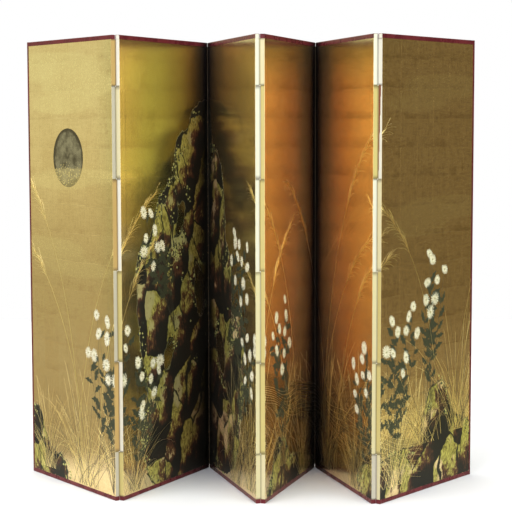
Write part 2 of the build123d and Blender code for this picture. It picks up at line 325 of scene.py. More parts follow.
    def _dust(self) -> None:
        """Dust on upward faces, also a painted sheen there: the normal's upward part, broken by noise."""
        graph, entry, give = self._start(Effect.DUST, "Mask", Vector=None, Amount=0.3)
        _, _, upward = graph.split(graph.node("NewGeometry").outputs["Normal"])
        speck = graph.span(graph.noise(entry["Vector"], 90.0, 5.0, 0.7), 0.42, 0.72)
        film = graph.times_plus(speck, 0.6, 0.4)
        lying = graph.times(graph.span(upward, 0.2, 1.0), film)
        give("Mask", graph.times(lying, entry["Amount"]))

    def _soot(self) -> None:
        """Painted shade beside a fold: thickest in the fold and thinning out over its reach, unevenly.

        The distance has slow noise added to it. Near the floor distances count for less, so the
        painted shade spreads wider there.
        """
        graph, entry, give = self._start(Effect.SOOT, "Mask", Distance=1.0, Height=1.0, Vector=None,
                                         Reach=0.122)
        share = graph.span(entry["Height"], 0.25, 0.95, 0.6, 1.0)
        counted = graph.times(entry["Distance"], share)
        away = graph.times_plus(graph.noise(entry["Vector"], 11.0, 5.0, 0.6), 0.03, counted)
        give("Mask", graph.span(away, 0.024, entry["Reach"], 1.0, 0.0))


effects = EffectShelf()


# ---- Finishes ----


@dataclass(frozen=True)
class Finish:
    """What every finish shares: its material's name, and how its surface is lit."""

    name: str

    def draw(self, graph: Graph) -> Sockets:
        """Draws the finish.

        Args:
            graph: The material's tree.

        Returns:
            The shader's inputs, by name.
        """
        raise NotImplementedError

    @cache
    def material(self) -> bpy.types.Material:
        """The finished material, made once and then shared.

        Returns:
            The material.
        """
        made = bpy.data.materials.new(self.name)
        made.use_nodes = True
        graph = Graph(made.node_tree)
        shader = graph.node("BsdfPrincipled", self.draw(graph))
        graph.node("OutputMaterial", {"Surface": shader.outputs[0]})
        return made

    @staticmethod
    def bump(graph: Graph, height: Socket, depth: float) -> Socket:
        """The normal of a surface that stands up by a height times a depth in metres."""
        return graph.node("Bump", {"Height": height, "Distance": depth, "Strength": 1.0}).outputs[0]


@dataclass(frozen=True)
class PaintedGold(Finish):
    """Old gold leaf over paper, with the painting's broad areas: mist, stream, moon and rocks.

    Attributes:
        brown: The ground under the leaf, and grime on it.
        fold_reflection: A painted warm reflection on the leaf beside a fold.
        warm_reflection: A painted warm reflection on the fourth and fifth panels.
        cool_reflection: A painted cool reflection on the second panel and on the tops of the fourth and fifth.
        metal_lost: How much less metallic the leaf is under the painted warm reflection, and under the painted
            shade at a fold.
        use: How worn the leaf is at the left and at the right of the row.
        rubbing: How much of the foot of a square is rubbed to brown.
    """

    bright: Colour = (0.88, 0.70, 0.43)
    dull: Colour = (0.79, 0.60, 0.34)
    brown: Colour = (0.46, 0.28, 0.13)
    ink: Colour = (0.007, 0.006, 0.005)
    umber: Colour = (0.085, 0.030, 0.016)
    moss: Colour = (0.19, 0.165, 0.040)
    lichen: Colour = (0.54, 0.49, 0.14)
    sprinkled: Colour = (0.95, 0.80, 0.48)
    water: Colour = (0.36, 0.31, 0.19)
    # Painted shade in the folds that close on the painted face.
    soot: Colour = (0.068, 0.055, 0.062)
    # Painted warm reflection beside the folds that close on the painted face.
    fold_reflection: Colour = (1.0, 0.78, 0.80)
    # Painted warm reflection on the fourth and fifth panels, painted cool reflection on the second and on the tops
    # of the fourth and fifth.
    warm_reflection: Colour = (0.98, 0.90, 0.82)
    cool_reflection: Colour = (0.55, 0.68, 0.56)
    silver: Colour = (0.34, 0.31, 0.27)
    tarnish: Colour = (0.085, 0.070, 0.055)
    leaf: float = 0.109
    rough: float = 0.175
    metal: float = 0.97
    metal_lost: float = 0.12
    paint_rough: float = 0.62
    use: tuple[float, float] = (0.45, 1.0)
    rubbing: float = 0.44
    grime: float = 0.46
    shine: float = 0.32
    staining: float = 0.55
    seam_shine: float = 0.12
    # How far the painted warm reflection reaches from a fold.
    fold_reflection_reach: float = 0.24
    relief: float = 0.3 * MM

    def draw(self, graph: Graph) -> Sockets:
        """Layers painted warm and cool reflections, mist, stream and rock over the leaf, then a painted
        reflection and painted shade beside the inner folds, and rubs the paper's borders.

        Args:
            graph: The material's tree.

        Returns:
            The shader's inputs, by name.
        """
        canvas = graph.attribute("canvas", "Vector")
        colour, rough, height = self._ground(graph, canvas)
        # Painted warm reflection on the fourth and fifth panels, painted cool reflection on the second and on the
        # tops of the fourth and fifth.
        warm_reflection = graph.span(graph.attribute("ruddy_wash"), -0.42, -0.06, 1.0, 0.0)
        colour = graph.mix(warm_reflection, colour, self.warm_reflection, "MULTIPLY")
        cool_reflection = graph.span(graph.attribute("green_wash"), -0.30, 0.10, 1.0, 0.0)
        colour = graph.mix(cool_reflection, colour, self.cool_reflection, "MULTIPLY")
        colour = self._moon(graph, canvas, colour)
        colour = graph.mix(self._mist(graph, canvas), colour, self.sprinkled)
        water = graph.effect(Effect.BRUSHED, Distance=graph.attribute("stream"), Canvas=canvas,
                             Fray=0.002, Scale=25.0, Soft=0.003)["Mask"]
        colour = graph.mix(graph.times(water, 0.55), colour, self.water)
        rock = graph.effect(Effect.BRUSHED, Distance=graph.attribute("rock"), Canvas=canvas,
                            Fray=0.026, Scale=12.0, Soft=0.002)
        body, bare = self._rock(graph, canvas, rock["Distance"], colour)
        colour = graph.mix(rock["Mask"], colour, body)
        solid = graph.times(rock["Mask"], graph.times_plus(bare, -0.5, 1.0))

        beside = {"Distance": graph.attribute("inner"), "Height": graph.split(canvas)[1], "Vector": canvas}
        # Painted warm reflection beside the folds that close on the painted face.
        fold_reflection = graph.effect(Effect.SOOT, **beside, Reach=self.fold_reflection_reach)["Mask"]
        colour = graph.mix(fold_reflection, colour, self.fold_reflection, "MULTIPLY")
        # Painted shade beside the folds that close on the painted face, black over the rocks.
        fold_shade_mask = graph.effect(Effect.SOOT, **beside)["Mask"]
        colour = graph.mix(fold_shade_mask, colour, graph.mix(rock["Mask"], self.soot, self.ink))

        rubbed = graph.noise(canvas, 70.0, 6.0, 0.7)
        near = graph.span(graph.attribute("border"), 0.0, 0.006, 0.16, 0.0)
        lost = graph.span(graph.plus(rubbed, near), 0.70, 0.76)
        colour = graph.mix(graph.times(lost, 0.75), colour, self.brown)
        step = graph.span(graph.attribute("seam"), 0.0350, 0.0364, 1.0, 0.0)
        height = graph.times_plus(step, 0.9, height)
        height = graph.times_plus(rock["Mask"], 0.8, height)
        # Less metallic under the painted warm reflection and under the painted fold shade.
        metal = graph.times_plus(warm_reflection, -self.metal_lost, self.metal)
        metal = graph.times_plus(fold_shade_mask, -self.metal_lost, metal)
        return {"Base Color": colour, "Roughness": graph.mix_value(solid, rough, self.paint_rough),
                "Metallic": graph.times(metal, graph.minus(1.0, solid)),
                "Specular IOR Level": 0.3, "Normal": self.bump(graph, height, self.relief)}

    def _ground(self, graph: Graph, canvas: Socket) -> tuple[Socket, Socket, Socket]:
        """The leaf before anything is painted on it: squares, seams, rubbed and clouded tone.

        Args:
            graph: The material's tree.
            canvas: The place on the canvas.

        Returns:
            The leaf's colour, roughness and height.
        """
        squares = graph.effect(Effect.LEAF, Canvas=canvas, Size=self.leaf, Lap=0.03)
        cloud = graph.effect(Effect.CLOUD, Vector=canvas, Scale=5.0, Streaks=0.62)["Tone"]
        tone = graph.times_plus(squares["Tone"], 0.17, cloud)
        colour = graph.mix(graph.span(tone, 0.38, 0.86), self.dull, self.bright)
        use = graph.span(graph.split(canvas)[0], 0.4, 3.2, *self.use)
        rubbed = graph.times(squares["Rubbed"], graph.times(use, self.rubbing))
        colour = graph.mix(rubbed, colour, self.brown)
        level = graph.noise(graph.stretched(canvas, (26.0, 120.0, 1.0)), 1.0, 6.0, 0.75)
        upright = graph.noise(graph.stretched(canvas, (130.0, 20.0, 1.0)), 1.0, 6.0, 0.75)
        streaks = graph.plus(level, upright)
        dirty = graph.times(graph.span(streaks, 0.96, 1.18, 0.0, self.grime), use)
        colour = graph.mix(dirty, colour, self.brown)
        clean = graph.times(graph.span(streaks, 0.82, 0.96, self.shine, 0.0), use)
        colour = graph.mix(clean, colour, self.bright)
        stain = graph.span(graph.noise(canvas, 9.0, 6.0, 0.7), 0.56, 0.80)
        colour = graph.mix(graph.times(stain, self.staining), colour, self.brown)
        colour = graph.mix(graph.times(squares["Seam"], self.seam_shine), colour, self.bright)
        rough = graph.span(tone, 0.35, 0.85, self.rough + 0.06, self.rough - 0.03)
        height = graph.times_plus(squares["Seam"], 0.25, cloud)
        return colour, rough, height

    def _moon(self, graph: Graph, canvas: Socket, ground: Socket) -> Socket:
        """The ground with the moon on it, darkest at its rim and in cloudy patches.

        Args:
            graph: The material's tree.
            canvas: The place on the canvas.
            ground: The colour under the moon.

        Returns:
            The colour.
        """
        moon = graph.effect(Effect.BRUSHED, Distance=graph.attribute("moon"), Canvas=canvas,
                            Fray=0.0015, Scale=60.0, Soft=0.0006)
        rim = graph.span(moon["Distance"], -0.02, 0.0, 0.0, 0.2)
        aged = graph.plus(graph.noise(canvas, 16.0, 6.0, 0.68), rim)
        face = graph.mix(graph.span(aged, 0.38, 0.66), self.silver, self.tarnish)
        return graph.mix(moon["Mask"], ground, face)

    def _mist(self, graph: Graph, canvas: Socket) -> Socket:
        """How much sprinkled leaf shows: a film over the mist, with flakes that thin out past it.

        Args:
            graph: The material's tree.
            canvas: The place on the canvas.

        Returns:
            The share of sprinkled leaf.
        """
        mist = graph.effect(Effect.BRUSHED, Distance=graph.attribute("mist"), Canvas=canvas,
                            Fray=0.006, Scale=22.0, Soft=0.005)
        cells = graph.node("TexVoronoi", {"Vector": canvas, "Scale": 260.0})
        scatter = graph.node("TexWhiteNoise", {"Vector": cells.outputs["Color"]}).outputs["Value"]
        chance = graph.span(mist["Distance"], -0.05, 0.035, 0.80, 1.0)
        flakes = graph.times(graph.math("GREATER_THAN", scatter, chance), 0.6)
        return graph.times_plus(mist["Mask"], 0.36, flakes)

    def _rock(self, graph: Graph, canvas: Socket, distance: Socket, gold: Socket) -> tuple[Socket, Socket]:
        """A rock's faces: each cell of a warped mosaic is lit from its upper left.

        How far a place lies towards the upper left of its cell's middle, roughened by noise,
        picks ink, umber, then bare gold with moss and lichen. Cell borders are ink cracks.

        Args:
            graph: The tree to draw on.
            canvas: The place on the canvas.
            distance: The frayed distance to the rock's outline.
            gold: The ground's colour, where it shows through.

        Returns:
            The colour, and how bare of ink it is.
        """
        sway = graph.node("TexNoise", {"Vector": canvas, "Scale": 9.0, "Detail": 4.0}).outputs["Color"]
        warped = graph.vector("MULTIPLY_ADD", sway, (0.09, 0.09, 0.0), canvas)
        mosaic = {"Vector": graph.stretched(warped, (8.5, 4.6, 0.0)), "Scale": 1.0}
        middle = graph.node("TexVoronoi", mosaic).outputs["Position"]
        edge = graph.node("TexVoronoi", mosaic, feature="DISTANCE_TO_EDGE").outputs["Distance"]
        lit = graph.dot(graph.vector("SUBTRACT", mosaic["Vector"], middle), (-0.55, 0.80, 0.0))
        coarse = graph.minus(graph.noise(canvas, 13.0, 5.0, 0.6), 0.5)
        strokes = graph.noise(graph.stretched(warped, (150.0, 26.0, 1.0)), 1.0, 4.0, 0.7)
        lit = graph.plus(lit, graph.times(coarse, 1.9))
        lit = graph.plus(lit, graph.times(graph.minus(strokes, 0.5), 1.1))
        body = graph.mix(graph.span(lit, -0.20, 0.16), self.ink, self.umber)
        growth = graph.noise(graph.stretched(warped, (120.0, 42.0, 1.0)), 1.0, 5.0, 0.68)
        patches = graph.mix(graph.span(growth, 0.40, 0.60), self.moss, self.lichen)
        patches = graph.mix(graph.span(graph.noise(canvas, 7.0, 3.0), 0.52, 0.60), patches, gold)
        bare = graph.span(lit, 0.10, 0.24)
        body = graph.mix(graph.times(bare, 0.94), body, patches)
        crack = graph.span(graph.times_plus(strokes, 0.05, edge), 0.035, 0.055, 1.0, 0.0)
        outline = graph.span(distance, -0.007, -0.003)
        body = graph.mix(graph.greatest(crack, outline), body, self.ink)
        return body, graph.times(bare, graph.minus(1.0, crack))


@dataclass(frozen=True)
class Pigment(Finish):
    """Mineral colour laid on thickly, with a powdery surface and painted shade at a stroke's rim and root."""

    base: Colour
    shade: Colour
    rough: float = 0.75
    metallic: float = 0.0
    grain: float = 160.0
    rim: float = 0.0
    # Painted shade beside the folds that close on the painted face.
    soot: Colour = (0.009, 0.007, 0.007)
    shade_strength: float = 0.96
    relief: float = 0.2 * MM

    def draw(self, graph: Graph) -> Sockets:
        """Mixes base and shade by fine noise, paints shade towards a stroke's rim, and paints shade
        beside a fold.

        Args:
            graph: The material's tree.

        Returns:
            The shader's inputs, by name.
        """
        canvas = graph.attribute("canvas", "Vector")
        grain = graph.noise(canvas, self.grain, 5.0, 0.7)
        # Painted shade towards each stroke's rim and root, where raised petals meet and overlap.
        shaded = graph.times_plus(graph.attribute("rim"), self.rim, grain)
        colour = graph.mix(graph.span(shaded, 0.40, 0.70), self.base, self.shade)
        # Painted shade beside the folds that close on the painted face.
        soot = graph.effect(Effect.SOOT, Distance=graph.attribute("inner"),
                            Height=graph.split(canvas)[1], Vector=canvas)["Mask"]
        colour = graph.mix(graph.times(soot, self.shade_strength), colour, self.soot)
        return {"Base Color": colour, "Roughness": graph.span(grain, 0.3, 0.7, self.rough - 0.08, self.rough),
                "Metallic": self.metallic, "Normal": self.bump(graph, grain, self.relief)}


def fold_place(joint_name: str) -> tuple[float, float, float]:
    """Where the line that two panels turn about stands on the floor.

    Args:
        joint_name: The joint's name.

    Returns:
        The point.
    """
    joint = next(joint for joint in frame["joints"] if joint["name"] == joint_name)
    return joint["pos_m"][0], joint["pos_m"][1], 0.0


@dataclass(frozen=True)
class Lacquer(Finish):
    """Dark red lacquer over wood, rubbed brown at its arrises, with a dusty film and a painted sheen on top.

    It has painted shade near the folds that close on the painted face.
    """

    deep: Colour = (0.080, 0.0110, 0.0185)
    warm: Colour = (0.120, 0.0175, 0.0255)
    rubbed: Colour = (0.15, 0.060, 0.040)
    # Dust on upward faces, its purple-grey also a painted sheen.
    dust: Colour = (0.34, 0.28, 0.30)
    # Painted shade near the folds that close on the painted face.
    soot: Colour = (0.006, 0.004, 0.005)
    shade_strength: float = 0.85
    shaded_folds: tuple[str, ...] = ("fold_2", "fold_4")
    ripple: float = 0.4 * MM

    def draw(self, graph: Graph) -> Sockets:
        """Lays cloudy red under wear, a dusty film with a painted sheen, and painted shade near the
        inner folds, with fine brushed unevenness.

        Args:
            graph: The material's tree.

        Returns:
            The shader's inputs, by name.
        """
        place = graph.node("TexCoord").outputs["Object"]
        cloud = graph.effect(Effect.CLOUD, Vector=place, Scale=14.0, Streaks=0.4)["Tone"]
        colour = graph.mix(graph.span(cloud, 0.38, 0.62), self.deep, self.warm)
        worn = graph.effect(Effect.WORN, Vector=place, Radius=0.0016, Amount=0.18)["Mask"]
        colour = graph.mix(worn, colour, self.rubbed)
        # Dust on upward faces, its colour also a painted sheen.
        dust = graph.effect(Effect.DUST, Vector=place, Amount=0.16)["Mask"]
        colour = graph.mix(dust, colour, self.dust)
        # Painted shade near each fold that closes on the painted face.
        level = graph.stretched(place, (1.0, 1.0, 0.0))
        for name in self.shaded_folds:
            fold = graph.node("VectorMath", {0: level, 1: fold_place(name)}, operation="DISTANCE")
            soot = graph.effect(Effect.SOOT, Distance=fold.outputs["Value"], Vector=place,
                                Height=graph.split(place)[2])["Mask"]
            colour = graph.mix(graph.times(soot, self.shade_strength), colour, self.soot)
        polish = graph.span(cloud, 0.3, 0.7, 0.22, 0.34)
        rough = graph.times_plus(graph.greatest(worn, dust), 0.35, polish)
        ripple = graph.noise(place, 55.0, 3.0)
        return {"Base Color": colour, "Roughness": rough, "Specular IOR Level": 0.10,
                "Coat Weight": 0.05, "Coat Roughness": 0.14, "Normal": self.bump(graph, ripple, self.ripple)}


@dataclass(frozen=True)
class EdgePaper(Finish):
    """The tough papers of the hinge straps and the folded edges, washed with gold or silver.

    Reads from the mesh: canvas, tone (an EdgeTone's value), soil (1 in creases and at laps)
    and lost (1 where the paper has torn away from its red-brown ground).

    Attributes:
        tones: The colour of each EdgeTone, in their order.
        under: The ground where the paper is lost.
        spread: How far clouds carry a tone towards its neighbours.
    """

    tones: tuple[Colour, ...] = (
        (0.42, 0.375, 0.345), (0.57, 0.53, 0.50), (0.52, 0.45, 0.30), (0.45, 0.36, 0.150),
        # The last is the near-black painted shade inside the inner folds.
        (0.42, 0.27, 0.11), (0.018, 0.012, 0.008),
    )
    dirt: Colour = (0.052, 0.034, 0.021)
    under: Colour = (0.20, 0.060, 0.030)
    sheen: float = 0.45
    spread: float = 0.22
    relief: float = 0.12 * MM

    def draw(self, graph: Graph) -> Sockets:
        """Mixes along the tones, then dirt, then torn places, over a fibrous surface.

        Args:
            graph: The material's tree.

        Returns:
            The shader's inputs, by name.
        """
        canvas = graph.attribute("canvas", "Vector")
        cloud = graph.effect(Effect.CLOUD, Vector=canvas, Scale=26.0, Streaks=0.6)["Tone"]
        drift = graph.times_plus(cloud, 2 * self.spread, -self.spread)
        tone = graph.plus(graph.attribute("tone"), drift)
        colour: Any = self.tones[0]
        stages = [stage.value for stage in EdgeTone]
        for start, end, following in zip(stages, stages[1:], self.tones[1:]):
            colour = graph.mix(graph.span(tone, start, end), colour, following)
        speck = graph.noise(canvas, 240.0, 6.0, 0.75)
        foxed = graph.times(graph.span(speck, 0.62, 0.72), 0.55)
        soil = graph.times(graph.attribute("soil"), graph.span(speck, 0.30, 0.60, 1.0, 0.78))
        colour = graph.mix(graph.greatest(foxed, soil), colour, self.dirt)
        torn = graph.times_plus(graph.noise(canvas, 60.0), 0.3, graph.attribute("lost"))
        lost = graph.span(torn, 0.62, 0.68)
        colour = graph.mix(lost, colour, graph.mix(graph.span(speck, 0.3, 0.6), self.dirt, self.under))
        fibre = graph.effect(Effect.FIBRE, Vector=canvas, Scale=700.0)["Height"]
        clean = graph.minus(1.0, graph.greatest(lost, soil))
        return {"Base Color": colour, "Metallic": graph.times(clean, self.sheen),
                "Roughness": graph.mix_value(clean, 0.85, 0.48), "Specular IOR Level": 0.3,
                "Normal": self.bump(graph, fibre, self.relief)}


@dataclass(frozen=True)
class PrintedBackPaper(Finish):
    """The back: buff paper block-printed with rows of small four-petalled flowers.

    Attributes:
        repeat: The distance from one flower to the next along a row.
        heart: The radius of the ring left bare in a flower, in shares of the repeat.
        waist: A flower's radius between its petals, in shares of the repeat.
        petal: How far its petals stand out from that, in shares of the repeat.
    """

    buff: Colour = (0.46, 0.39, 0.27)
    browned: Colour = (0.36, 0.29, 0.19)
    print_ink: Colour = (0.12, 0.165, 0.13)
    repeat: float = 0.070
    heart: float = 0.075
    waist: float = 0.11
    petal: float = 0.09
    relief: float = 0.12 * MM

    def draw(self, graph: Graph) -> Sockets:
        """Prints a flower in each cell of an offset grid.

        A flower's edge lies where the distance from the cell's middle equals a radius that
        swells and shrinks four times in a turn.

        Args:
            graph: The material's tree.

        Returns:
            The shader's inputs, by name.
        """
        canvas = graph.attribute("canvas", "Vector")
        fibre = graph.effect(Effect.FIBRE, Vector=canvas, Scale=260.0)["Height"]
        cloud = graph.effect(Effect.CLOUD, Vector=canvas, Scale=4.0, Streaks=0.4)["Tone"]
        colour = graph.mix(graph.span(cloud, 0.35, 0.65), self.buff, self.browned)
        flowers = graph.greatest(self._flowers(graph, canvas, 0.0), self._flowers(graph, canvas, 0.5))
        faded = graph.span(graph.noise(canvas, 20.0, 5.0, 0.7), 0.36, 0.62, 0.90, 0.45)
        colour = graph.mix(graph.times(flowers, faded), colour, self.print_ink)
        height = graph.times_plus(flowers, 0.4, fibre)
        return {"Base Color": colour, "Roughness": 0.82, "Normal": self.bump(graph, height, self.relief)}

    def _flowers(self, graph: Graph, canvas: Socket, shift: float) -> Socket:
        """The mask of the flowers on one of the two grids.

        Args:
            graph: The material's tree.
            canvas: The place on the canvas.
            shift: How far the grid is moved, in shares of the repeat.

        Returns:
            The mask.
        """
        cells = graph.vector("MULTIPLY", canvas, (1.0 / self.repeat, 1.0 / self.repeat, 0.0))
        cells = graph.vector("ADD", cells, (shift, shift, 0.0))
        from_middle = graph.vector("SUBTRACT", graph.vector("FRACTION", cells), (0.5, 0.5, 0.0))
        u, v, _ = graph.split(from_middle)
        reach = graph.node("VectorMath", {0: from_middle}, operation="LENGTH").outputs["Value"]
        swell = graph.math("COSINE", graph.times(graph.math("ARCTAN2", v, u), 4.0))
        radius = graph.times_plus(graph.math("ABSOLUTE", swell), self.petal, self.waist)
        inside = graph.span(graph.minus(reach, radius), -0.01, 0.01, 1.0, 0.0)
        from_ring = graph.math("ABSOLUTE", graph.minus(reach, self.heart))
        return graph.times(inside, graph.span(from_ring, 0.008, 0.016))


@dataclass(frozen=True)
class PlainStock(Finish):
    """The stuff inside: cedar, paste papers and nails, with a grain drawn out along one direction."""

    light: Colour
    dark: Colour
    stretch: tuple[float, float, float]
    rough: float
    metallic: float = 0.0
    relief: float = 0.3 * MM

    def draw(self, graph: Graph) -> Sockets:
        """Light and dark in drawn-out noise.

        Args:
            graph: The material's tree.

        Returns:
            The shader's inputs, by name.
        """
        place = graph.stretched(graph.node("TexCoord").outputs["Object"], self.stretch)
        grain = graph.noise(place, 1.0, 6.0, 0.65)
        return {"Base Color": graph.mix(graph.span(grain, 0.4, 0.65), self.light, self.dark),
                "Roughness": self.rough, "Metallic": self.metallic,
                "Normal": self.bump(graph, grain, self.relief)}


PAINTED_GOLD = PaintedGold("painted_gold")
EDGE_PAPER = EdgePaper("strap_and_edge_paper")
LACQUER = Lacquer("red_lacquer")
BACK_PAPER = PrintedBackPaper("printed_back_paper")
CEDAR = PlainStock("cedar_wood", (0.52, 0.34, 0.19), (0.33, 0.19, 0.09), (90.0, 90.0, 5.0), rough=0.7)
PASTE_PAPER = PlainStock("paste_paper", (0.70, 0.64, 0.50), (0.58, 0.51, 0.38), (60.0, 60.0, 60.0),
                         rough=0.85)
NAIL_IRON = PlainStock("nail_iron", (0.13, 0.11, 0.10), (0.20, 0.09, 0.05), (400.0, 400.0, 400.0),
                       rough=0.6, metallic=0.8)
# Its rim weight paints shade where the raised petals meet.
SHELL_WHITE = Pigment("shell_white", (0.80, 0.77, 0.69), (0.42, 0.36, 0.25), rough=0.8, rim=0.14)
FLOWER_HEART = Pigment("flower_heart", (0.20, 0.19, 0.03), (0.07, 0.08, 0.02), rough=0.8)
LEAF_GREEN = Pigment("leaf_green", (0.026, 0.030, 0.013), (0.010, 0.010, 0.006), rough=0.7)
STEM_INK = Pigment("stem_ink", (0.016, 0.013, 0.009), (0.045, 0.032, 0.018), rough=0.65)
MOSS_GOLD = Pigment("moss_gold", (0.42, 0.40, 0.15), (0.20, 0.20, 0.06), rough=0.7)
PALE_GOLD = Pigment("pale_gold", (0.95, 0.78, 0.40), (0.80, 0.60, 0.25), rough=0.38, metallic=1.0)


# ---- Meshes ----


def solid_sheets(outer: Array, inner: Array) -> tuple[Array, Array]:
    """Closed thin bodies, each an outer and an inner skin joined round their rims.

    Points are numbered row by row, the inner skin's after the outer's. The outer's faces
    take four neighbours in turn, the inner's the other way round, and the rim's join each
    step of the border. A body whose volume comes out negative is turned the right way out.

    Args:
        outer: The outer skins, shaped (bodies, rows, columns, 3).
        inner: The inner skins, shaped the same.

    Returns:
        The points, and the four corners of each face.
    """
    bodies, rows, columns, _ = outer.shape
    skin = rows * columns
    points = np.concatenate([outer.reshape(bodies, skin, 3), inner.reshape(bodies, skin, 3)], axis=1)
    index = np.arange(skin).reshape(rows, columns)
    over = np.stack([index[:-1, :-1], index[:-1, 1:], index[1:, 1:], index[1:, :-1]], -1).reshape(-1, 4)
    rim = np.concatenate([index[0], index[1:, -1], index[-1, -2::-1], index[-2:0:-1, 0]])
    after = np.roll(rim, -1)
    sides = np.stack([after, rim, rim + skin, after + skin], -1)
    faces = np.concatenate([over, over[:, ::-1] + skin, sides])
    middle = points.mean(axis=1, keepdims=True)
    moved = [points[:, faces[:, n]] - middle for n in range(4)]
    volume = np.einsum("bfi,bfi->b", moved[0], np.cross(moved[1], moved[2]) + np.cross(moved[2], moved[3]))
    every = np.where((volume < 0)[:, None, None], faces[None, :, ::-1], faces[None])
    every = every + (np.arange(bodies) * 2 * skin)[:, None, None]
    return points.reshape(-1, 3), every.reshape(-1, 4)


@dataclass(frozen=True)
class ThinBody:
    """A closed thin body: the grids of its two skins, and of the values kept on each."""

    outer: Array
    inner: Array
    stored: Stored

    @staticmethod
    def join(bodies: Sequence["ThinBody"]) -> tuple[Array, Array, Stored]:
        """Joins bodies of one grid size.

        Args:
            bodies: The bodies.

        Returns:
            Their points, their faces, and their values with each skin's in turn.
        """
        points, faces = solid_sheets(np.stack([body.outer for body in bodies]),
                                     np.stack([body.inner for body in bodies]))
        grids = {key: np.stack([body.stored[key] for body in bodies for _ in range(2)])
                 for key in bodies[0].stored}
        return points, faces, {key: grid.reshape(-1, *grid.shape[3:]) for key, grid in grids.items()}


def keep(mesh: bpy.types.Mesh, name: str, values: Array) -> None:
    """Stores a number, or a vector, at each point of a mesh.

    Args:
        mesh: The mesh.
        name: The name that a finish reads.
        values: The numbers, shaped (points,), or the vectors, shaped (points, 3).
    """
    kind, part = ("FLOAT_VECTOR", "vector") if values.ndim == 2 else ("FLOAT", "value")
    layer = mesh.attributes.new(name, kind, "POINT")
    layer.data.foreach_set(part, values.astype(np.float32).ravel())


def mesh_points(mesh: bpy.types.Mesh) -> Array:
    """The points of a mesh, shaped (points, 3).

    Args:
        mesh: The mesh.

    Returns:
        Its points.
    """
    flat = np.empty(len(mesh.vertices) * 3, np.float32)
    mesh.vertices.foreach_get("co", flat)
    return flat.reshape(-1, 3).astype(float)


def piece(name: str, points: Array, faces: Array, finish: Finish, sharp: float = 0.6,
          stored: Stored | None = None) -> bpy.types.Object:
    """Puts points and four-cornered faces into a new object at the origin.

    Args:
        name: The piece's name.
        points: Its points, shaped (points, 3).
        faces: The corners of each face, shaped (faces, 4).
        finish: What it is finished with.
        sharp: The turn, in radians, past which an edge between faces stays sharp.
        stored: What the finish reads at the points, by name.

    Returns:
        The object, linked to the scene.
    """
    mesh = bpy.data.meshes.new(name)
    mesh.vertices.add(len(points))
    mesh.vertices.foreach_set("co", points.astype(np.float32).ravel())
    mesh.loops.add(faces.size)
    mesh.loops.foreach_set("vertex_index", faces.astype(np.int32).ravel())
    mesh.polygons.add(len(faces))
    mesh.polygons.foreach_set("loop_start", np.arange(0, faces.size, 4, dtype=np.int32))
    mesh.update(calc_edges=True)
    for key, values in (stored or {}).items():
        keep(mesh, key, values)
    mesh.validate()
    mesh.polygons.foreach_set("use_smooth", np.ones(len(mesh.polygons), dtype=bool))
    mesh.set_sharp_from_angle(angle=sharp)
    mesh.materials.append(finish.material())
    made = bpy.data.objects.new(name, mesh)
    bpy.context.scene.collection.objects.link(made)
    return made


def node_points(name: str) -> Array:
    """The points of a fixed node, shaped (points, 3)."""
    return mesh_points(frame["nodes"][name].data)


# ---- Panels ----


@dataclass(frozen=True)
class PanelFrame:
    """Where one panel stands, read from its fixed pieces.

    Attributes:
        corner: The bottom of its left edge, in the plane of its painted face.
        along: The direction from its left edge to its right edge.
        back: The direction from its painted face to its back.
        paper: The lowest and highest place of its painted paper on each of its own axes.
        back_paper: The same of its back paper.
    """

    number: int
    corner: Array
    along: Array
    back: Array
    width: float
    paper: Array
    back_paper: Array

    @classmethod
    def read(cls, number: int) -> "PanelFrame":
        """Reads a panel: its painted paper's longer level direction runs along it.

        Args:
            number: Its number, from the left.

        Returns:
            Where the panel stands.
        """
        body = frame["record"]["behaviour"]["bodies"][f"panel_{number}"]
        front, rear = (node_points(f"panel_{number}_{face}_paper") for face in ("front", "back"))
        level = front[:, :2] - front[:, :2].mean(axis=0)
        _, _, turned = np.linalg.svd(level, full_matrices=False)
        back = np.array([-turned[0, 1], turned[0, 0], 0.0])
        back = back * np.sign((rear.mean(axis=0) - front.mean(axis=0)) @ back)
        along = np.cross(back, (0.0, 0.0, 1.0))
        axes = np.stack([along, back, (0.0, 0.0, 1.0)], axis=1)
        everything = np.concatenate([node_points(name) for name in body]) @ axes
        low = np.array([everything[:, 0].min(), (front @ axes)[:, 1].min(), everything[:, 2].min()])
        spans = [np.stack([(p @ axes).min(axis=0), (p @ axes).max(axis=0)]) - low for p in (front, rear)]
        width = float(everything[:, 0].max() - low[0])
        return cls(number, axes @ low, along, back, width, spans[0], spans[1])

    @property
    def body(self) -> str:
        """The body that the panel's pieces ride on."""
        return f"panel_{self.number}"

    @property
    def thickness(self) -> float:
        """From the painted face to the back face."""
        return float(self.back_paper[1, 1])

    def place(self, x: Array, y: Array, z: Array) -> Array:
        """Points at x along the panel, y behind its painted face and z up.

        Args:
            x: Places along the panel.
            y: How far each lies behind the painted face.
            z: How high each is.

        Returns:
            The points, with one more axis than the places.
        """
        up = np.array([0.0, 0.0, 1.0])
        return (self.corner + np.multiply.outer(x, self.along) + np.multiply.outer(y, self.back)
                + np.multiply.outer(z, up))

    def local(self, points: Array) -> Array:
        """Points of the row's frame on the panel's own axes."""
        axes = np.stack([self.along, self.back, (0.0, 0.0, 1.0)], axis=1)
        return (points - self.corner) @ axes

    def canvas_start(self) -> float:
        """Where the panel's left edge lies on the flat canvas."""
        return (self.number - 1) * self.width

    def from_inner_fold(self, x: Array) -> Array:
        """How far places along the panel are from its fold that closes on the painted face.

        The outermost panels have none, so all is far from it there.

        Args:
            x: The places.

        Returns:
            The distances.
        """
        if self.number in (1, PANELS):
            return np.ones_like(x)
        return x - self.paper[0, 0] if self.number % 2 else self.paper[1, 0] - x


# ---- The painting: broad areas ----


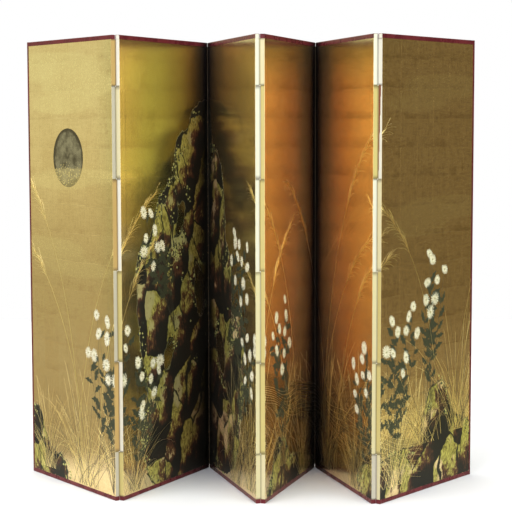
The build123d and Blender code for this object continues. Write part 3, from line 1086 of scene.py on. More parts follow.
@dataclass(frozen=True)
class Lump:
    """One rounded mass on the canvas, an ellipse with its middle, half sizes and tilt."""

    u: float
    v: float
    half_u: float
    half_v: float
    tilt: float = 0.0

    def distance(self, u: Array, v: Array) -> Array:
        """About how far places lie outside the ellipse, and below nought inside it.

        It is how far the place, scaled to a unit circle, lies beyond it, times the
        ellipse's smaller half size.

        Args:
            u: The places, across the canvas.
            v: The places, up the canvas.

        Returns:
            The distances.
        """
        turn = math.radians(self.tilt)
        across = (u - self.u) * math.cos(turn) + (v - self.v) * math.sin(turn)
        upward = (v - self.v) * math.cos(turn) - (u - self.u) * math.sin(turn)
        reach = np.hypot(across / self.half_u, upward / self.half_v)
        return (reach - 1.0) * min(self.half_u, self.half_v)


@dataclass(frozen=True)
class Mass:
    """Lumps run together, with a few cut out of them."""

    lumps: tuple[Lump, ...]
    hollows: tuple[Lump, ...] = ()
    melt: float = 0.03

    def distance(self, u: Array, v: Array) -> Array:
        """The least of the lumps' distances, eased where they meet, outside the hollows.

        Args:
            u: The places, across the canvas.
            v: The places, up the canvas.

        Returns:
            The distances.
        """
        near = np.stack([lump.distance(u, v) for lump in self.lumps])
        least = near.min(axis=0)
        joined = least - self.melt * np.log(np.exp(-(near - least) / self.melt).sum(axis=0))
        for hollow in self.hollows:
            joined = np.maximum(joined, -hollow.distance(u, v))
        return joined


@dataclass(frozen=True)
class GardenPlan:
    """Where everything in the painting lies on the canvas.

    Attributes:
        tufts: Grass tufts, each with u, v, its number of blades and their reach.
        reeds: Pampas stems, each with u, v, its lean and its length.
        clusters: Flowers, each with the root's u and v, the middle's u and v, the number of
            flowers and their spread.
    """

    rocks: Mass = Mass(
        lumps=(
            Lump(1.06, 0.20, 0.30, 0.26), Lump(1.00, 0.56, 0.13, 0.30, 10.0),
            Lump(1.16, 0.92, 0.12, 0.36, -7.0), Lump(1.32, 0.60, 0.16, 0.42, -4.0),
            Lump(1.45, 0.26, 0.22, 0.24), Lump(1.50, 0.72, 0.07, 0.17, -14.0),
            Lump(1.11, 1.22, 0.075, 0.13, 20.0), Lump(1.20, 1.34, 0.09, 0.15, -14.0),
            Lump(0.85, 0.60, 0.10, 0.34, 12.0), Lump(0.93, 0.98, 0.075, 0.20, -12.0),
            Lump(1.40, 1.05, 0.09, 0.24, 6.0), Lump(1.64, 0.44, 0.10, 0.26, -8.0),
            Lump(3.35, 0.06, 0.34, 0.12), Lump(3.52, 0.22, 0.10, 0.20, -8.0), Lump(3.66, 0.12, 0.14, 0.14),
            Lump(2.20, 0.02, 0.30, 0.09), Lump(2.08, 0.10, 0.09, 0.12, 15.0),
            Lump(0.03, 0.04, 0.26, 0.10), Lump(0.02, 0.13, 0.09, 0.15),
        ),
        hollows=(
            Lump(1.19, 0.74, 0.040, 0.105, 10.0), Lump(1.05, 1.04, 0.026, 0.070, -16.0),
            Lump(1.43, 0.50, 0.048, 0.085, 25.0), Lump(0.95, 0.50, 0.030, 0.060, -20.0),
        ),
    )
    mist: Mass = Mass(
        lumps=(
            Lump(0.14, 1.62, 0.42, 0.055), Lump(0.40, 1.54, 0.26, 0.045), Lump(0.26, 1.47, 0.22, 0.035),
            Lump(0.42, 1.205, 0.30, 0.026), Lump(0.22, 1.170, 0.20, 0.022),
            Lump(3.60, 1.54, 0.30, 0.045), Lump(3.36, 1.47, 0.20, 0.030),
            Lump(3.60, 1.08, 0.34, 0.045), Lump(3.36, 1.01, 0.22, 0.035),
            Lump(0.12, 0.92, 0.30, 0.040), Lump(0.36, 0.85, 0.24, 0.035),
        ),
        melt=0.012,
    )
    stream: Mass = Mass(
        lumps=(
            Lump(1.95, 0.42, 0.34, 0.050, -16.0), Lump(2.40, 0.30, 0.34, 0.060, -10.0),
            Lump(2.85, 0.20, 0.36, 0.080, -8.0), Lump(3.20, 0.16, 0.22, 0.060),
        ),
        melt=0.03,
    )
    moon: Mass = Mass((Lump(0.31, 1.27, 0.112, 0.112),))
    tufts: tuple[tuple[float, float, int, float], ...] = (
        (0.14, 0.04, 80, 0.40), (0.42, 0.02, 90, 0.50), (0.70, 0.02, 80, 0.42), (1.64, 0.02, 90, 0.48),
        (1.82, 0.03, 90, 0.56), (2.10, 0.10, 70, 0.44), (2.36, 0.02, 90, 0.52), (2.66, 0.03, 110, 0.66),
        (2.98, 0.02, 100, 0.54), (3.24, 0.05, 90, 0.46), (3.42, 0.18, 60, 0.40), (3.68, 0.20, 80, 0.56),
    )
    reeds: tuple[tuple[float, float, float, float], ...] = (
        (2.60, 0.04, 0.10, 1.52), (2.68, 0.04, -0.12, 1.30), (2.54, 0.04, 0.26, 1.16),
        (2.74, 0.04, 0.18, 1.02), (3.62, 0.22, 0.20, 1.22), (3.70, 0.22, 0.06, 1.34),
        (3.56, 0.20, -0.14, 1.05), (3.66, 0.20, 0.34, 0.96), (0.40, 0.04, -0.10, 1.42),
        (0.46, 0.04, -0.24, 1.16), (0.34, 0.04, 0.14, 1.26), (0.50, 0.04, 0.08, 1.02),
        (2.30, 0.06, -0.10, 1.24), (2.24, 0.06, -0.26, 1.02), (1.78, 0.04, 0.10, 1.10),
    )
    clusters: tuple[tuple[float, float, float, float, int, float], ...] = (
        (0.62, 0.02, 0.56, 0.58, 11, 0.13), (0.70, 0.02, 0.80, 0.42, 9, 0.11),
        (1.00, 0.60, 0.84, 0.98, 8, 0.10), (1.56, 0.30, 1.70, 0.86, 12, 0.13),
        (1.60, 0.20, 1.80, 0.52, 9, 0.11), (2.12, 0.06, 2.10, 0.60, 10, 0.12),
        (3.16, 0.04, 3.04, 0.44, 9, 0.11), (3.20, 0.04, 3.30, 0.60, 10, 0.12),
        (3.48, 0.24, 3.50, 0.80, 8, 0.10),
    )


# ---- The painting: raised motifs ----


@dataclass
class Strokes:
    """Brush strokes on the canvas, each a tapering ridge along a line.

    Attributes:
        lines: The strokes' lines, shaped (strokes, steps, 2).
        widths: Their widths at each step, shaped (strokes, steps).
        height: How far the ridge stands above the paper.
    """

    lines: Array
    widths: Array
    height: float

    SUNK = 0.1 * MM
    EDGE = 0.06 * MM

    def skins(self) -> tuple[Array, Array]:
        """The outer and inner skins: left edge, ridge and right edge at each step.

        An edge lies half a width from the line, at a right angle to its direction.

        Returns:
            Both skins, shaped (strokes, steps, 3, 3), as u, v and height.
        """
        step = np.gradient(self.lines, axis=1)
        step = step / np.maximum(np.linalg.norm(step, axis=-1, keepdims=True), 1e-9)
        right = np.stack([step[..., 1], -step[..., 0]], -1) * self.widths[..., None]
        sides = np.array([-0.5, 0.0, 0.5])
        flat = self.lines[:, :, None, :] + sides[:, None] * right[:, :, None, :]
        rise = np.broadcast_to(np.array([self.EDGE, self.height, self.EDGE]), flat.shape[:-1])
        outer = np.concatenate([flat, rise[..., None]], -1)
        inner = np.concatenate([flat, np.full(flat.shape[:-1] + (1,), -self.SUNK)], -1)
        return outer, inner

    @staticmethod
    def rims(strokes: int, steps: int) -> Array:
        """How near each point of both skins is to its stroke's edge or root, from 0 to 1.

        Args:
            strokes: How many strokes there are.
            steps: How many steps each has.

        Returns:
            The values, the outer skin's before the inner's.
        """
        across = np.array([1.0, 0.0, 1.0])[None, :]
        root = np.clip(1.0 - np.linspace(0.0, 2.2, steps), 0.0, 1.0)[:, None]
        return np.tile(np.maximum(across, root).reshape(-1), 2 * strokes)


def arcs(start: Array, heading: Array, bend: Array, length: Array, steps: int) -> Array:
    """Lines whose direction turns ever faster along them, as a blade bows over.

    The direction is the heading plus the bend times the square of the share gone; the line
    is the running sum of its steps.

    Args:
        start: Where they start, shaped (lines, 2).
        heading: The first direction of each, in radians from level.
        bend: How far each has turned at its tip, in radians.
        length: Their lengths.
        steps: How many points each has.

    Returns:
        The points, shaped (lines, steps, 2).
    """
    share = np.linspace(0.0, 1.0, steps)
    turned = heading[:, None] + bend[:, None] * share[None] ** 2
    moves = np.stack([np.cos(turned), np.sin(turned)], -1) * (length[:, None] / (steps - 1))[..., None]
    moves[:, 0] = 0.0
    return start[:, None] + np.cumsum(moves, axis=1)


@dataclass(frozen=True)
class Relief:
    """How high each motif stands above the paper."""

    stems: float = 0.15 * MM
    leaves: float = 0.20 * MM
    plumes: float = 0.20 * MM
    grass: float = 0.22 * MM
    reeds: float = 0.25 * MM
    water: float = 0.25 * MM
    pale_moss: float = 0.30 * MM
    dark_moss: float = 0.25 * MM
    hearts: float = 0.45 * MM


@dataclass(frozen=True)
class Petals:
    """A ring of petals: how far they reach, how wide and how high they are."""

    reach: float
    width: float
    height: float


@dataclass
class Garden:
    """Everything in the painting that stands up from the paper, in layers of one finish each."""

    plan: GardenPlan
    relief: Relief = Relief()
    rings: tuple[Petals, ...] = (Petals(0.0265, 0.0060, 0.26 * MM), Petals(0.0170, 0.0050, 0.34 * MM))
    petals: int = 15
    random: np.random.Generator = field(default_factory=lambda: np.random.default_rng(SEED))
    layers: dict[str, tuple[Finish, list[Strokes]]] = field(default_factory=dict)

    def add(self, layer: str, finish: Finish, strokes: Strokes) -> None:
        """Puts strokes on a layer."""
        self.layers.setdefault(layer, (finish, []))[1].append(strokes)

    def grow(self) -> None:
        """Draws every motif, from the ground up."""
        self.water_lines()
        for tuft in self.plan.tufts:
            self.grass_tuft(*tuft)
        for reed in self.plan.reeds:
            self.pampas(*reed)
        for cluster in self.plan.clusters:
            self.chrysanthemums(*cluster)
        self.moss_dots()

    def water_lines(self) -> None:
        """Lines of current: each is the stream's middle line plus a small travelling wave."""
        share = np.linspace(0.0, 1.0, 90)
        rank = np.linspace(-1.0, 1.0, 8)[:, None]
        start_u, reach, start_v, fall = 1.66, 1.76, 0.47, 0.33
        middle = start_v - fall * share ** 0.8
        wave = 0.016 * np.sin(share * 17.0 + rank * 0.9) + 0.006 * np.sin(share * 39.0 + rank * 0.7)
        v = middle + rank * (0.030 + 0.052 * share) + wave
        lines = np.stack([np.broadcast_to(start_u + share * reach, v.shape), v], -1)
        widths = 1.6 * MM * (0.35 + 0.65 * np.sin(np.pi * share)[None]) * np.ones_like(rank)
        self.add("water_lines", PALE_GOLD, Strokes(lines, widths, self.relief.water))

    def grass_tuft(self, u: float, v: float, count: int, reach: float) -> None:
        """Blades that fan out from one root, pale ones over dark ones.

        Args:
            u: The root's place across the canvas.
            v: Its place up the canvas.
            count: How many blades there are.
            reach: The longest blade's length.
        """
        draw = self.random
        for layer, finish, share in (("dark_grass", STEM_INK, 0.45), ("gold_grass", PALE_GOLD, 0.55)):
            number = int(count * share)
            start = np.stack([u + draw.normal(0, 0.035, number), np.full(number, v)], -1)
            side = draw.uniform(-1.0, 1.0, number)
            heading = math.pi / 2 - side * 0.75
            bend = -side * draw.uniform(0.7, 1.7, number)
            length = reach * draw.uniform(0.35, 1.0, number)
            steps = 14
            lines = arcs(start, heading, bend, length, steps)
            taper = np.linspace(1.0, 0.12, steps)[None] ** 0.8
            widths = taper * draw.uniform(1.0, 2.2, number)[:, None] * MM
            self.add(layer, finish, Strokes(lines, widths, self.relief.grass))

    def pampas(self, u: float, v: float, lean: float, reach: float) -> None:
        """A tall stem that bows at its tip under a feathery plume of fine hairs.

        Args:
            u: The root's place across the canvas.
            v: Its place up the canvas.
            lean: How far the stem leans, in radians.
            reach: Its length.
        """
        draw = self.random
        steps = 40
        stem = arcs(np.array([[u, v]]), np.array([math.pi / 2 - lean]), np.array([-np.sign(lean) * 0.9]),
                    np.array([reach]), steps)
        self.add("gold_grass", PALE_GOLD, Strokes(stem, np.full((1, steps), 2.2 * MM), self.relief.reeds))
        hairs, hair_steps = 64, 8
        along = draw.uniform(0.72, 1.0, hairs)
        place = along * (steps - 1)
        low = np.minimum(place.astype(int), steps - 2)
        way = stem[0, low + 1] - stem[0, low]
        start = stem[0, low] + (place - low)[:, None] * way
        side = draw.choice([-1.0, 1.0], hairs)
        heading = np.arctan2(way[:, 1], way[:, 0]) + side * draw.uniform(0.15, 0.5, hairs)
        bend = -np.sign(lean) * draw.uniform(0.3, 1.0, hairs)
        length = draw.uniform(0.05, 0.11, hairs) * (1.25 - along * 0.5)
        lines = arcs(start, heading, bend, length, hair_steps)
        widths = np.full((hairs, 1), 1.1 * MM) * np.linspace(1.0, 0.2, hair_steps)
        self.add("plumes", PALE_GOLD, Strokes(lines, widths, self.relief.plumes))

    def chrysanthemums(self, root_u: float, root_v: float, u: float, v: float, count: int,
                       spread: float) -> None:
        """White flowers on thin stems from one root, with dark leaves along them.

        Args:
            root_u: Where the stems leave the ground, across the canvas.
            root_v: The same, up the canvas.
            u: The middle of the flowers, across the canvas.
            v: The same, up the canvas.
            count: How many flowers there are.
            spread: How far they lie from their middle.
        """
        draw = self.random
        angle = np.arange(count) * GOLDEN_ANGLE + draw.uniform(0, 1, count)
        far = spread * np.sqrt((np.arange(count) + 0.5) / count)
        hearts = np.stack([u + far * np.cos(angle), v + 1.25 * far * np.sin(angle)], -1)
        root = np.array([root_u, root_v])
        way = hearts - root
        share = np.linspace(0.0, 1.0, 24)
        bow = draw.normal(0.0, 0.10, count)[:, None] * np.sin(np.pi * share)[None] * 0.35
        across = np.stack([-way[:, 1], way[:, 0]], -1)
        stems = root + way[:, None] * share[None, :, None] + across[:, None] * bow[..., None]
        widths = np.full((count, 1), 2.4 * MM) * (1.0 - 0.5 * share)
        self.add("stems", STEM_INK, Strokes(stems, widths, self.relief.stems))
        self.leaves(stems)
        self.flowers(hearts)

    def leaves(self, stems: Array) -> None:
        """Lobed leaves along the stems: a width that swells once, rippled into lobes.

        Args:
            stems: The stems' lines, shaped (stems, steps, 2).
        """
        draw = self.random
        number = len(stems) * 7
        stem = draw.integers(0, len(stems), number)
        node = draw.integers(9, 22, number)
        start = stems[stem, node]
        way = stems[stem, node + 1] - start
        side = draw.choice([-1.0, 1.0], number)
        heading = np.arctan2(way[:, 1], way[:, 0]) + side * draw.uniform(0.5, 1.3, number)
        bend = draw.normal(0, 0.5, number)
        share = np.linspace(0.0, 1.0, 13)
        lines = arcs(start, heading, bend, draw.uniform(0.034, 0.062, number), len(share))
        swell = np.sin(np.pi * np.clip(share, 0.03, 0.97)) ** 0.75
        lobes = swell * (0.72 + 0.28 * np.cos(share * 6 * math.pi))
        widths = lobes[None] * draw.uniform(0.019, 0.031, number)[:, None]
        self.add("leaves", LEAF_GREEN, Strokes(lines, widths, self.relief.leaves))

    def moss_dots(self) -> None:
        """Round dots of moss along the rocks' outlines, in two colours.

        Places drawn at random are kept where they lie near an outline and where a slow
        wave along the canvas is high, so that the dots gather in patches.
        """
        draw = self.random
        tries, most, pale_share = 30000, 1500, 0.55
        places = draw.uniform((0.0, 0.02), (3.78, 1.45), (tries, 2))
        u, v = places.T
        far = self.plan.rocks.distance(u, v)
        patchy = np.sin(u * 23.0 + 1.3 * np.sin(v * 17.0)) * np.sin(v * 19.0)
        kept = places[(far > -0.035) & (far < 0.006) & (patchy > 0.05)][:most]
        radius = draw.uniform(2.2, 5.2, len(kept))[:, None] * MM
        offsets = np.array([-1.0, -0.45, 0.45, 1.0])
        lines = kept[:, None] + np.stack([offsets, 0 * offsets], -1)[None] * radius[..., None]
        widths = 2 * radius * np.array([0.25, 0.95, 0.95, 0.25])
        pale = draw.uniform(size=len(kept)) < pale_share
        self.add("pale_moss", MOSS_GOLD, Strokes(lines[pale], widths[pale], self.relief.pale_moss))
        self.add("dark_moss", LEAF_GREEN, Strokes(lines[~pale], widths[~pale], self.relief.dark_moss))

    def flowers(self, hearts: Array) -> None:
        """Rings of petals round each heart, seen from a little to one side.

        A petal runs out from the heart, and its width swells once. A flower is squashed along
        one direction, then turned.

        Args:
            hearts: The flowers' middles, shaped (flowers, 2).
        """
        draw = self.random
        share = np.linspace(0.0, 1.0, 6)
        turn = draw.uniform(0, math.pi, len(hearts))
        squash = draw.uniform(0.62, 1.0, len(hearts))
        size = draw.uniform(0.78, 1.15, len(hearts))
        cos, sin = np.cos(turn)[:, None, None], np.sin(turn)[:, None, None]
        for ring in self.rings:
            angle = np.arange(self.petals) * (math.tau / self.petals) + draw.uniform(0, 1, (len(hearts), 1))
            uneven = draw.uniform(0.88, 1.06, (len(hearts), self.petals, 1))
            reach = ring.reach * size[:, None, None] * uneven * (0.14 + 0.86 * share)
            across = reach * np.cos(angle)[..., None]
            upward = reach * np.sin(angle)[..., None] * squash[:, None, None]
            turned = np.stack([across * cos - upward * sin, across * sin + upward * cos], -1)
            lines = (hearts[:, None, None] + turned).reshape(-1, len(share), 2)
            shape = ring.width * np.sin(np.pi * (0.10 + 0.80 * share)) ** 0.6
            widths = np.repeat(size, self.petals)[:, None] * shape[None]
            self.add("petals", SHELL_WHITE, Strokes(lines, widths, ring.height))
        offsets = np.array([-4.5, -2.2, 2.2, 4.5]) * MM
        dots = hearts[:, None] + np.stack([offsets, 0 * offsets], -1)[None]
        widths = np.array([2.0, 9.0, 9.0, 2.0]) * MM * size[:, None]
        self.add("hearts", FLOWER_HEART, Strokes(dots, widths, self.relief.hearts))

    def hang(self, panel: PanelFrame) -> list[bpy.types.Object]:
        """Cuts each layer to one panel and lays it on that panel.

        Args:
            panel: The panel that carries the pieces.

        Returns:
            The pieces, one for each layer that reaches the panel.
        """
        made = []
        margin = 0.3 * MM
        start = np.array([panel.canvas_start(), 0.0])
        low = start + panel.paper[0, ::2] + margin
        high = start + panel.paper[1, ::2] - margin
        for layer, (finish, groups) in self.layers.items():
            points, faces, rims, count = [], [], [], 0
            for strokes in groups:
                outer, inner = strokes.skins()
                flat = outer[..., :2].reshape(len(outer), -1, 2)
                here = ((flat.max(axis=1) > low) & (flat.min(axis=1) < high)).all(axis=1)
                if not here.any():
                    continue
                found, corners = solid_sheets(outer[here], inner[here])
                points.append(found)
                faces.append(corners + count)
                rims.append(strokes.rims(len(outer[here]), outer.shape[1]))
                count += len(found)
            if not points:
                continue
            motif = piece(f"{panel.body}_{layer}", np.concatenate(points), np.concatenate(faces), finish,
                          stored={"rim": np.concatenate(rims)})
            self._trim(motif.data, low, high)
            self._lay(motif.data, panel)
            if not motif.data.polygons:
                bpy.data.objects.remove(motif)
                continue
            made.append(motif)
        return made

    @staticmethod
    def _trim(mesh: bpy.types.Mesh, low: Array, high: Array) -> None:
        """Cuts a flat mesh off at the borders of a panel's paper and closes the cuts.

        Args:
            mesh: The mesh, which is changed.
            low: The paper's lowest u and v.
            high: Its highest u and v.
        """
        work = bmesh.new()
        work.from_mesh(mesh)
        for axis, bound, sign in ((0, low[0], -1), (0, high[0], 1), (1, low[1], -1), (1, high[1], 1)):
            at, way = [0.0, 0.0, 0.0], [0.0, 0.0, 0.0]
            at[axis], way[axis] = float(bound), float(sign)
            everything = work.verts[:] + work.edges[:] + work.faces[:]
            cut = bmesh.ops.bisect_plane(work, geom=everything, dist=1e-7, plane_co=at, plane_no=way,
                                         clear_outer=True)["geom_cut"]
            bmesh.ops.holes_fill(work, edges=[e for e in cut if isinstance(e, bmesh.types.BMEdge)], sides=0)
        work.to_mesh(mesh)
        work.free()

    @staticmethod
    def _lay(mesh: bpy.types.Mesh, panel: PanelFrame) -> None:
        """Moves a mesh from the canvas to the panel, and keeps what its finish reads.

        Args:
            mesh: The mesh, which is changed.
            panel: The panel.
        """
        canvas = mesh_points(mesh)
        x = canvas[:, 0] - panel.canvas_start()
        keep(mesh, "canvas", canvas)
        keep(mesh, "inner", panel.from_inner_fold(x))
        laid = panel.place(x, -canvas[:, 2], canvas[:, 1])
        mesh.vertices.foreach_set("co", laid.astype(np.float32).ravel())
        mesh.update()


# ---- Papers ----


@dataclass
class PanelPapers:
    """A panel's painted front paper, with the areas of its painted warm and cool reflections, and its printed back
    paper.
    """

    panel: PanelFrame
    plan: GardenPlan
    mesh_step: float = 0.008
    # The areas of the painted warm and cool reflections.
    warm_reflection: Lump = Lump(2.50, 0.85, 0.54, 1.20)
    cool_reflection: Mass = Mass((Lump(0.98, 1.15, 0.42, 1.50), Lump(2.52, 1.80, 0.74, 0.22)))

    def build(self) -> list[bpy.types.Object]:
        """Makes both papers."""
        return [self.painting(), self.back_sheet()]

    def painting(self) -> bpy.types.Object:
        """The painted paper, with the distance to each broad area kept at its points.

        Returns:
            The painted paper.
        """
        points, faces, canvas = self._sheet(self.panel.paper, front=True)
        u, v, _ = canvas.T
        low, high = self.panel.paper
        x = u - self.panel.canvas_start()
        left, right = x - low[0], high[0] - x
        far = np.ones_like(x)
        seam_left = left if self.panel.number > 1 else far
        seam_right = right if self.panel.number < PANELS else far
        areas = {"rock": self.plan.rocks, "mist": self.plan.mist, "stream": self.plan.stream,
                 "moon": self.plan.moon, "ruddy_wash": self.warm_reflection, "green_wash": self.cool_reflection}
        stored = {"canvas": canvas, "inner": self.panel.from_inner_fold(x),
                  "seam": np.minimum(seam_left, seam_right),
                  "border": np.minimum(np.minimum(left, right), np.minimum(v - low[2], high[2] - v)),
                  **{name: area.distance(u, v) for name, area in areas.items()}}
        made = piece(f"{self.panel.body}_painting", points, faces, PAINTED_GOLD, stored=stored)
        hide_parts(f"{self.panel.body}_front_paper")
        return made

    def back_sheet(self) -> bpy.types.Object:
        """The printed paper on the back.

        Returns:
            The printed paper.
        """
        points, faces, canvas = self._sheet(self.panel.back_paper, front=False)
        made = piece(f"{self.panel.body}_back_sheet", points, faces, BACK_PAPER, stored={"canvas": canvas})
        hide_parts(f"{self.panel.body}_back_paper")
        return made

    def _sheet(self, span: Array, front: bool) -> tuple[Array, Array, Array]:
        """A flat sheet that fills a span, as an even grid on both of its faces.

        Args:
            span: Its lowest and highest corners on the panel's own axes.
            front: Whether the face that shows is the front one.

        Returns:
            Its points, its faces and its points' places on the canvas.
        """
        low, high = span
        columns = int(round((high[0] - low[0]) / self.mesh_step)) + 1
        rows = int(round((high[2] - low[2]) / self.mesh_step)) + 1
        z, x = np.meshgrid(np.linspace(low[2], high[2], rows), np.linspace(low[0], high[0], columns),
                           indexing="ij")
        near, far = np.full_like(x, low[1]), np.full_like(x, high[1])
        outer = self.panel.place(x, near if front else far, z)[None]
        inner = self.panel.place(x, far if front else near, z)[None]
        points, faces = solid_sheets(outer, inner)
        flat = np.stack([x + self.panel.canvas_start(), z, np.zeros_like(x)], -1).reshape(-1, 3)
        return points, faces, np.concatenate([flat, flat])


@dataclass(frozen=True)
class FoldTones:
    """How the two edges at one fold have aged, strap by strap from the top; at an inner fold they are painted
    shade.

    Attributes:
        papered_rails: Whether paper covers the top rail's end on each of the two.
    """

    left: tuple[EdgeTone, ...]
    right: tuple[EdgeTone, ...]
    papered_rails: tuple[bool, bool] = (False, False)

    def tone(self, on_left: bool, strap: Array) -> Array:
        """The tone's value on one of the two edges, by the strap's number from the top."""
        values = np.array([tone.value for tone in (self.left if on_left else self.right)])
        return values[np.clip(strap, 0, len(values) - 1)]


@dataclass
class EdgePapers:
    """The papers on a panel's folded edges, behind the straps.

    Attributes:
        tones: The tones at the fold on its left and at the fold on its right.
        laps: The heights between the straps, from the top.
        inset: How far the paper lies in from the edge.
        rail_inset: The same over a rail's end.
        lap_soil: How far soil reaches from a lap.
        crease_soil: How far it takes to fade away from the crease.
    """

    panel: PanelFrame
    tones: tuple[FoldTones | None, FoldTones | None]
    laps: Array
    inset: float = 0.6 * MM
    rail_inset: float = -0.05 * MM
    lap_soil: float = 1.6 * MM
    crease_soil: float = 2.2 * MM
    thick: float = 0.3 * MM
    rows: int = 400
    columns: int = 9

    def build(self) -> bpy.types.Object:
        """Makes a flat strip on each folded edge, and a patch on each papered rail end.

        Returns:
            The strips and patches as one piece.
        """
        points = self.panel.local(node_points(f"{self.panel.body}_edge_paper"))
        low, high = points.min(axis=0), points.max(axis=0)
        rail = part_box(f"{self.panel.body}_top_rail")
        strips = []
        for on_right, tones in enumerate(self.tones):
            if tones is None:
                continue
            strips.append(self._strip(bool(on_right), tones, low, high, self.inset))
            if tones.papered_rails[1 - on_right]:
                bottom, top = (low[0], low[1], rail[0][2]), (high[0], high[1], rail[1][2] - MM)
                strips.append(self._strip(bool(on_right), tones, bottom, top, self.rail_inset))
        points, faces, stored = ThinBody.join(strips)
        made = piece(f"{self.panel.body}_edge_strips", points, faces, EDGE_PAPER, stored=stored)
        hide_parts(f"{self.panel.body}_edge_paper")
        return made

    def _strip(self, on_right: bool, tones: FoldTones, low: Sequence[float], high: Sequence[float],
               inset: float) -> ThinBody:
        """One flat strip, with soil at the crease and at each lap between straps.

        Args:
            on_right: Whether it lies on the panel's right edge.
            tones: How the fold's edges have aged.
            low: The strip's lowest place on the panel's own axes.
            high: Its highest place.
            inset: How far it lies in from the edge.

        Returns:
            The strip.
        """
        z, y = np.meshgrid(np.linspace(low[2], high[2], self.rows),
                           np.linspace(low[1], high[1], self.columns), indexing="ij")
        skins = []
        for depth in (inset, inset + self.thick):
            x = self.panel.width - depth if on_right else depth
            skins.append(self.panel.place(np.full_like(z, x), y, z))
        edge_at = self.panel.canvas_start() + (self.panel.width if on_right else 0.0)
        strap = (z[..., None] < self.laps).sum(axis=-1)
        lap = np.abs(z[..., None] - self.laps).min(axis=-1)
        crease_at = self.panel.thickness if (self.panel.number + on_right) % 2 == 0 else 0.0
        crease = np.abs(y - crease_at)
        soiled = np.clip(1.6 - crease / self.crease_soil, 0.0, 1.0)
        soil = np.maximum(0.9 * (lap < self.lap_soil), 0.8 * soiled)
        stored = {"canvas": np.stack([edge_at + y, z, np.zeros_like(z)], -1), "soil": soil,
                  "tone": tones.tone(on_right, strap), "lost": self._lost(z, y, on_right)}
        return ThinBody(*skins, stored)

    def _lost(self, z: Array, y: Array, on_right: bool) -> Array:
        """Where the paper has torn away: a wedge behind the second strap of the last fold.

        It runs from the crease to a line that leans from near the face, at the top, to near
        the crease, at the bottom.

        Args:
            z: The heights.
            y: The depths behind the face.
            on_right: Whether the strip lies on the right edge.

        Returns:
            1 where it is lost, 0 elsewhere.
        """
        if self.panel.number != PANELS or on_right:
            return np.zeros_like(z)
        down = (self.laps[0] - z) / (self.laps[0] - self.laps[1])
        line = (5.5 + 9.5 * down) * MM
        return ((down > 0.0) & (down < 1.0) & (y > line)).astype(float)


# ---- Hinge straps ----


